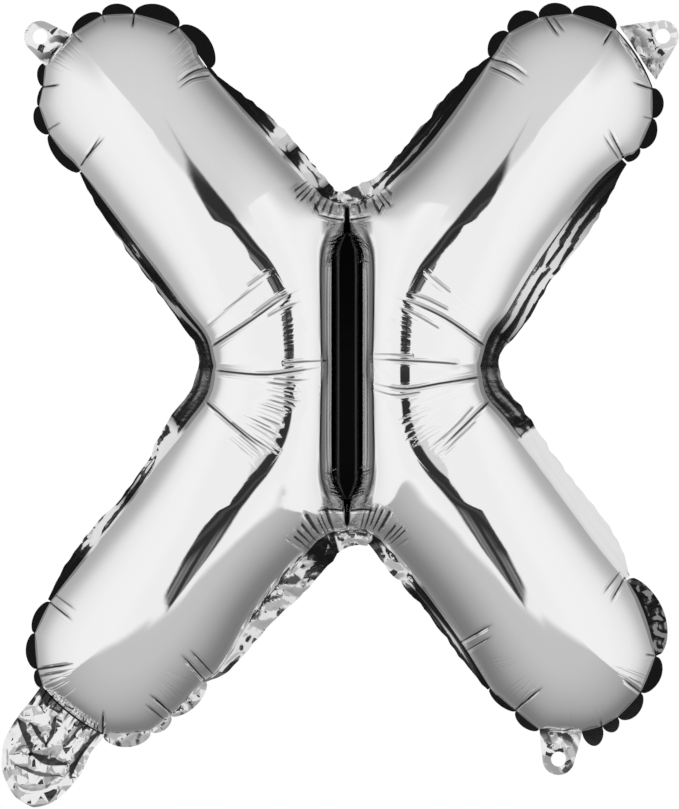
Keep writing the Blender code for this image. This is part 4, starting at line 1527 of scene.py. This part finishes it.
def margin_patch(name):
    """A ribbon's points and the shade painted on its folds and flat stretches, rows from the cut edge
    to the weld.
    """
    columns, rows = RIBBON_GRID
    share = np.linspace(0.0, 1.0, columns + 1)
    weld = curve(margin_line(name), share)
    along = np.gradient(weld, axis=0)
    along /= np.linalg.norm(along, axis=1)[:, None]
    normal = np.stack((-along[:, 1], along[:, 0]), axis=-1)
    if normal[len(weld) // 2] @ np.array(MARGIN_AWAY[name]) < 0:
        normal = -normal
    stations = np.array(SIDE_MARGINS[name])
    width = np.interp(share, stations[:, 0], stations[:, 1])
    own = np.random.default_rng(len(name) * 7 + 3)
    width = width + RAGGED * np.interp(share, np.linspace(0, 1, 60), own.normal(0.0, 1.0, 60))
    across = np.linspace(0.0, 1.0, rows + 1)
    far = -RIBBON_TUCK + (np.maximum(width, 0.6)[:, None] + RIBBON_TUCK) * across[None, :]
    flat = weld[:, None, :] + normal[:, None, :] * far[:, :, None]
    length = np.concatenate(([0.0], np.cumsum(np.linalg.norm(np.diff(weld, axis=0), axis=1))))
    rests = np.array(MARGIN_UNREST[name])
    lean, streaky, crumpled = (np.interp(share, rests[:, 0], rests[:, k])[:, None] for k in (1, 2, 3))
    streaks = np.zeros_like(far)
    for apart, high in STREAKS:
        shift = np.interp(length, np.arange(0.0, 400.0, 9.0), np.cumsum(own.normal(0.0, 0.8, 45)))
        streaks += high * np.sin(2 * np.pi * far / apart + shift[:, None])
    busy = crumple(flat, len(name) + 9, 16.0, 0.75, 3) * crumpled
    free = smooth(far, 0.0, 2.4)
    lift = free * (streaks * streaky + busy) + lean * np.maximum(far, 0.0)
    table = np.stack((flat[:, :, 0], lift, flat[:, :, 1]), axis=-1)
    table = table.transpose(1, 0, 2)
    # painted shade: crumpled facets that lean one way, and the flat stretches that don't lean back
    facets = facet_painted_shade(table, MARGIN_PAINTED_SHADE_SIDE[name], 0.16, 0.22) * np.minimum(crumpled.T * 2.0, 1.0)
    level = FLAT_PAINTED_SHADE * (1.0 - smooth(lean.T + 0.3 * crumpled.T, 0.0, 0.10))
    return table, np.maximum(facets, np.broadcast_to(level, facets.shape))


side_margins = []
for name in SIDE_MARGINS:
    ribbon = join("side_margin_" + name, [patch("ribbon", *margin_patch(name))])
    finish_sheet(ribbon, weld_film, FOLD_EDGE)
    side_margins.append((ribbon, "margin_" + name))
print("side margins", len(side_margins))

# %% [markdown]
# ## Holed tabs
# Three tabs let the letter be threaded on a ribbon. Each is a ring of film round a punched hole,
# drawn out to a wide root on the end's margin. We could cut the hole with a boolean, but a grid
# that runs round the hole in one direction and from the hole to the edge in the other has it from
# the start, and its crumples stay even.

# %% Tabs
HOLE_RADIUS = 3.5
TAB_RADIUS = 7.4
TAB_GRID = (160, 22)
TABS = (  # end, direction and distance of the hole, half width, crumple and painted shade of the root
    ("upper_left", 143.6, 50.0, 9.5, 0.9, 0.1),
    ("upper_right", 33.9, 52.8, 15.0, 1.0, 0.62),
    ("lower_right", 265.2, 52.5, 10.0, 0.9, 0.0),
)


def tab_patch(end, bearing, distance, half_root, steepness, root_painted_shade):
    """A tab round its hole, flat at the ring and crumpled at its root, with shade painted on some
    facets and over the root.
    """
    columns, rows = TAB_GRID
    hole = end_axis(end)[0] + towards(bearing) * distance
    root = distance - END_RADIUS + 1.2
    corner = np.hypot(root, half_root)
    tangent = np.arctan2(half_root, root) + np.arccos(TAB_RADIUS / corner)
    turn = np.linspace(-np.pi, np.pi, columns + 1)
    turned = np.abs(turn)
    flank = TAB_RADIUS / np.cos(np.clip(tangent - turned, -1.5, 1.5))
    base = root / np.cos(np.clip(turned, 0.0, 1.5))
    edge = np.where(turned >= tangent, TAB_RADIUS, np.minimum(flank, base))
    share = np.linspace(0.0, 1.0, rows + 1)[:, None]
    far = HOLE_RADIUS + (edge[None, :] - HOLE_RADIUS) * share
    ray = towards(bearing + 180.0 + np.degrees(turn))
    flat = hole + far[:, :, None] * ray[None, :, :]
    rooted = smooth((hole - flat) @ towards(bearing), TAB_RADIUS * 0.2, root)
    creased = crumple(flat, int(bearing), 13.0, steepness, 3) * (0.2 + 0.8 * rooted)
    lean = 0.16 * (flat - hole) @ towards(bearing) * (1 - rooted)
    table = np.stack((flat[..., 0], creased + lean, flat[..., 1]), axis=-1)
    # painted shade on facets that lean one way, stronger at the root, and over the root itself
    facets = facet_painted_shade(table, bearing + 120.0, 0.10, 0.16) * (0.35 + 0.65 * rooted)
    bright = facet_painted_shade(table, bearing - 60.0, 0.20, 0.26)
    return patch("tab", table, np.maximum(facets, root_painted_shade * rooted * (1.0 - bright)))


tabs = []
for end, *measures in TABS:
    tab = join("hanging_tab_" + end, [tab_patch(end, *measures)])
    finish_sheet(tab, limp_film, FOLD_EDGE)
    tabs.append((tab, "tab_" + end))
print("tabs", len(tabs))

# %% [markdown]
# ## The filling tail
# The balloon is filled through a limp flap at the lower left. It is two films that lie on each
# other, gathered at its neck and crumpled all over by handling. We describe its two long edges
# as smooth curves from the weld to the round tip and lay a fine grid between them. Its big folds
# are drawn as the creases were, with shade painted along one side of the wide ones, and smaller
# crumples fill the rest. The gathers at its neck are only stripes of painted shade.

# %% Edges of the tail, measured out from the end and across it
TAIL_BEARING = 238.5
TAIL_MIDDLE = (-129.1, -160.7)
TAIL_LOW_EDGE = (
    (-6.0, -17.0), (3.7, -17.8), (16.4, -19.1), (28.1, -17.9), (38.8, -11.4), (45.2, -1.4), (45.4, 4.0),
)
TAIL_HIGH_EDGE = (
    (-3.0, 19.0), (0.8, 19.5), (9.7, 18.5), (22.0, 19.5), (36.4, 16.4), (44.8, 9.7), (45.4, 4.0),
)

# %% Folds of the tail
TAIL_VALLEYS = (  # depth, width, then points as X and Z
    (2.4, 9.0, (-153.0, -163.0), (-149.6, -172.0), (-146.4, -179.6)),
    (2.4, 9.0, (-146.4, -179.6), (-139.2, -184.4), (-129.4, -184.6)),
    (1.6, 6.0, (-146.6, -165.2), (-143.0, -171.8), (-139.0, -175.6)),
    (1.4, 5.0, (-139.0, -175.6), (-135.4, -170.0), (-134.4, -162.0)),
    (1.6, 7.0, (-127.7, -190.2), (-122.6, -180.0), (-114.0, -169.2)),
    (1.0, 4.0, (-121.0, -163.0), (-127.4, -171.0), (-131.0, -176.0)),
    (0.9, 4.0, (-153.6, -184.6), (-143.0, -189.4), (-131.0, -190.0)),
    (
        0.45, 1.6, (-157.3, -177.2), (-155.4, -190.1), (-147.1, -196.6), (-134.2, -193.4),
        (-128.1, -186.9),
    ),
)
print("folds of the tail", len(TAIL_VALLEYS))

# %% Lay the tail
TAIL_GRID = (210, 170)
TAIL_SWELL = 1.6  # how far the two films still stand apart in its middle
GATHER_TURN = 0.9  # radians a mm across the stripes of painted shade that stand for the gathers at its neck


def tail_patch():
    """The tail's points and the shade painted on its folds, facets and neck, from one long edge to the
    other.
    """
    columns, rows = TAIL_GRID
    out = towards(TAIL_BEARING)
    over = towards(TAIL_BEARING + 90.0)
    even = np.linspace(0.0, 1.0, columns + 1)
    share = 1.0 - (1.0 - even) ** 1.35
    low = curve(TAIL_LOW_EDGE, share)
    high = curve(TAIL_HIGH_EDGE, share)
    v = np.linspace(0.0, 1.0, rows + 1)[:, None, None]
    local = low[None, :, :] + (high - low)[None, :, :] * v
    flat = np.array(TAIL_MIDDLE) + local[..., 0:1] * out + local[..., 1:2] * over
    far = local[..., 0]
    free = smooth(far, -2.0, 8.0)
    folded = crumple(flat, 11, 26.0, 0.50, 4)
    shade = np.zeros(folded.shape)
    own = np.random.default_rng(3)
    for depth, width, *line in TAIL_VALLEYS:
        gap, along = beside(flat.reshape(-1, 2), line_points(line))
        ends = np.clip(4.0 * along * (1.0 - along), 0.0, 1.0) ** 0.4
        ragged = ends * np.interp(along, np.linspace(0.0, 1.0, 11), own.uniform(0.45, 1.0, 11))
        gap = (gap / (width * np.maximum(ragged, 0.1))).reshape(folded.shape)
        folded = folded + depth * np.clip(1.0 - np.abs(gap), 0.0, 1.0)
        # painted shade along one side of each wide fold
        dark = smooth(gap, -0.05, 0.0) * (1.0 - smooth(gap, 0.5, 0.56)) * (width > 2.0)
        shade = np.maximum(shade, min(depth, 1.0) * dark)
    swollen = TAIL_SWELL * np.sin(np.pi * v[..., 0]) * smooth(far, 0.0, 20.0)
    table = np.stack((flat[..., 0], free * folded - swollen, flat[..., 1]), axis=-1)
    # painted shade in stripes across the neck, where the gathers are, and on facets that lean one way
    between_gathers = smooth(np.abs(np.sin(local[..., 1] * GATHER_TURN)), 0.1, 0.6)
    gathered = (1.0 - smooth(far, 0.0, 7.0)) * (1.0 - between_gathers)
    shade = np.maximum(np.maximum(shade, gathered), 0.6 * facet_painted_shade(table, 200.0, 0.34, 0.38))
    return table, np.clip(shade, 0.0, 1.0)


tail = join("filling_tail", [patch("flap", *tail_patch())])
finish_sheet(tail, limp_film, FOLD_EDGE)
print("tail", len(tail.data.polygons), "faces")

# %% [markdown]
# ## What moves with what
# Everything but the tail rides on the balloon's body. The tail is only baked into place where it
# lies, and is attached to no body.

# %% Bodies and replaced nodes
for piece, replaced in film_pieces + [(middle_weld, "centre_weld")]:
    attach(piece, "balloon")
    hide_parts(replaced)
for piece, replaced in scalloped + side_margins + tabs:
    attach(piece, "balloon")
    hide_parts(replaced)
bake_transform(tail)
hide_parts("tail_neck", "fill_tail")

# %% Sizes of the frame and of the looks
visual_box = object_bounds()
for label, box in (("frame", cad_box), ("looks", visual_box)):
    print(label, "size mm", [round((high - low) / MM, 1) for low, high in zip(*box)])
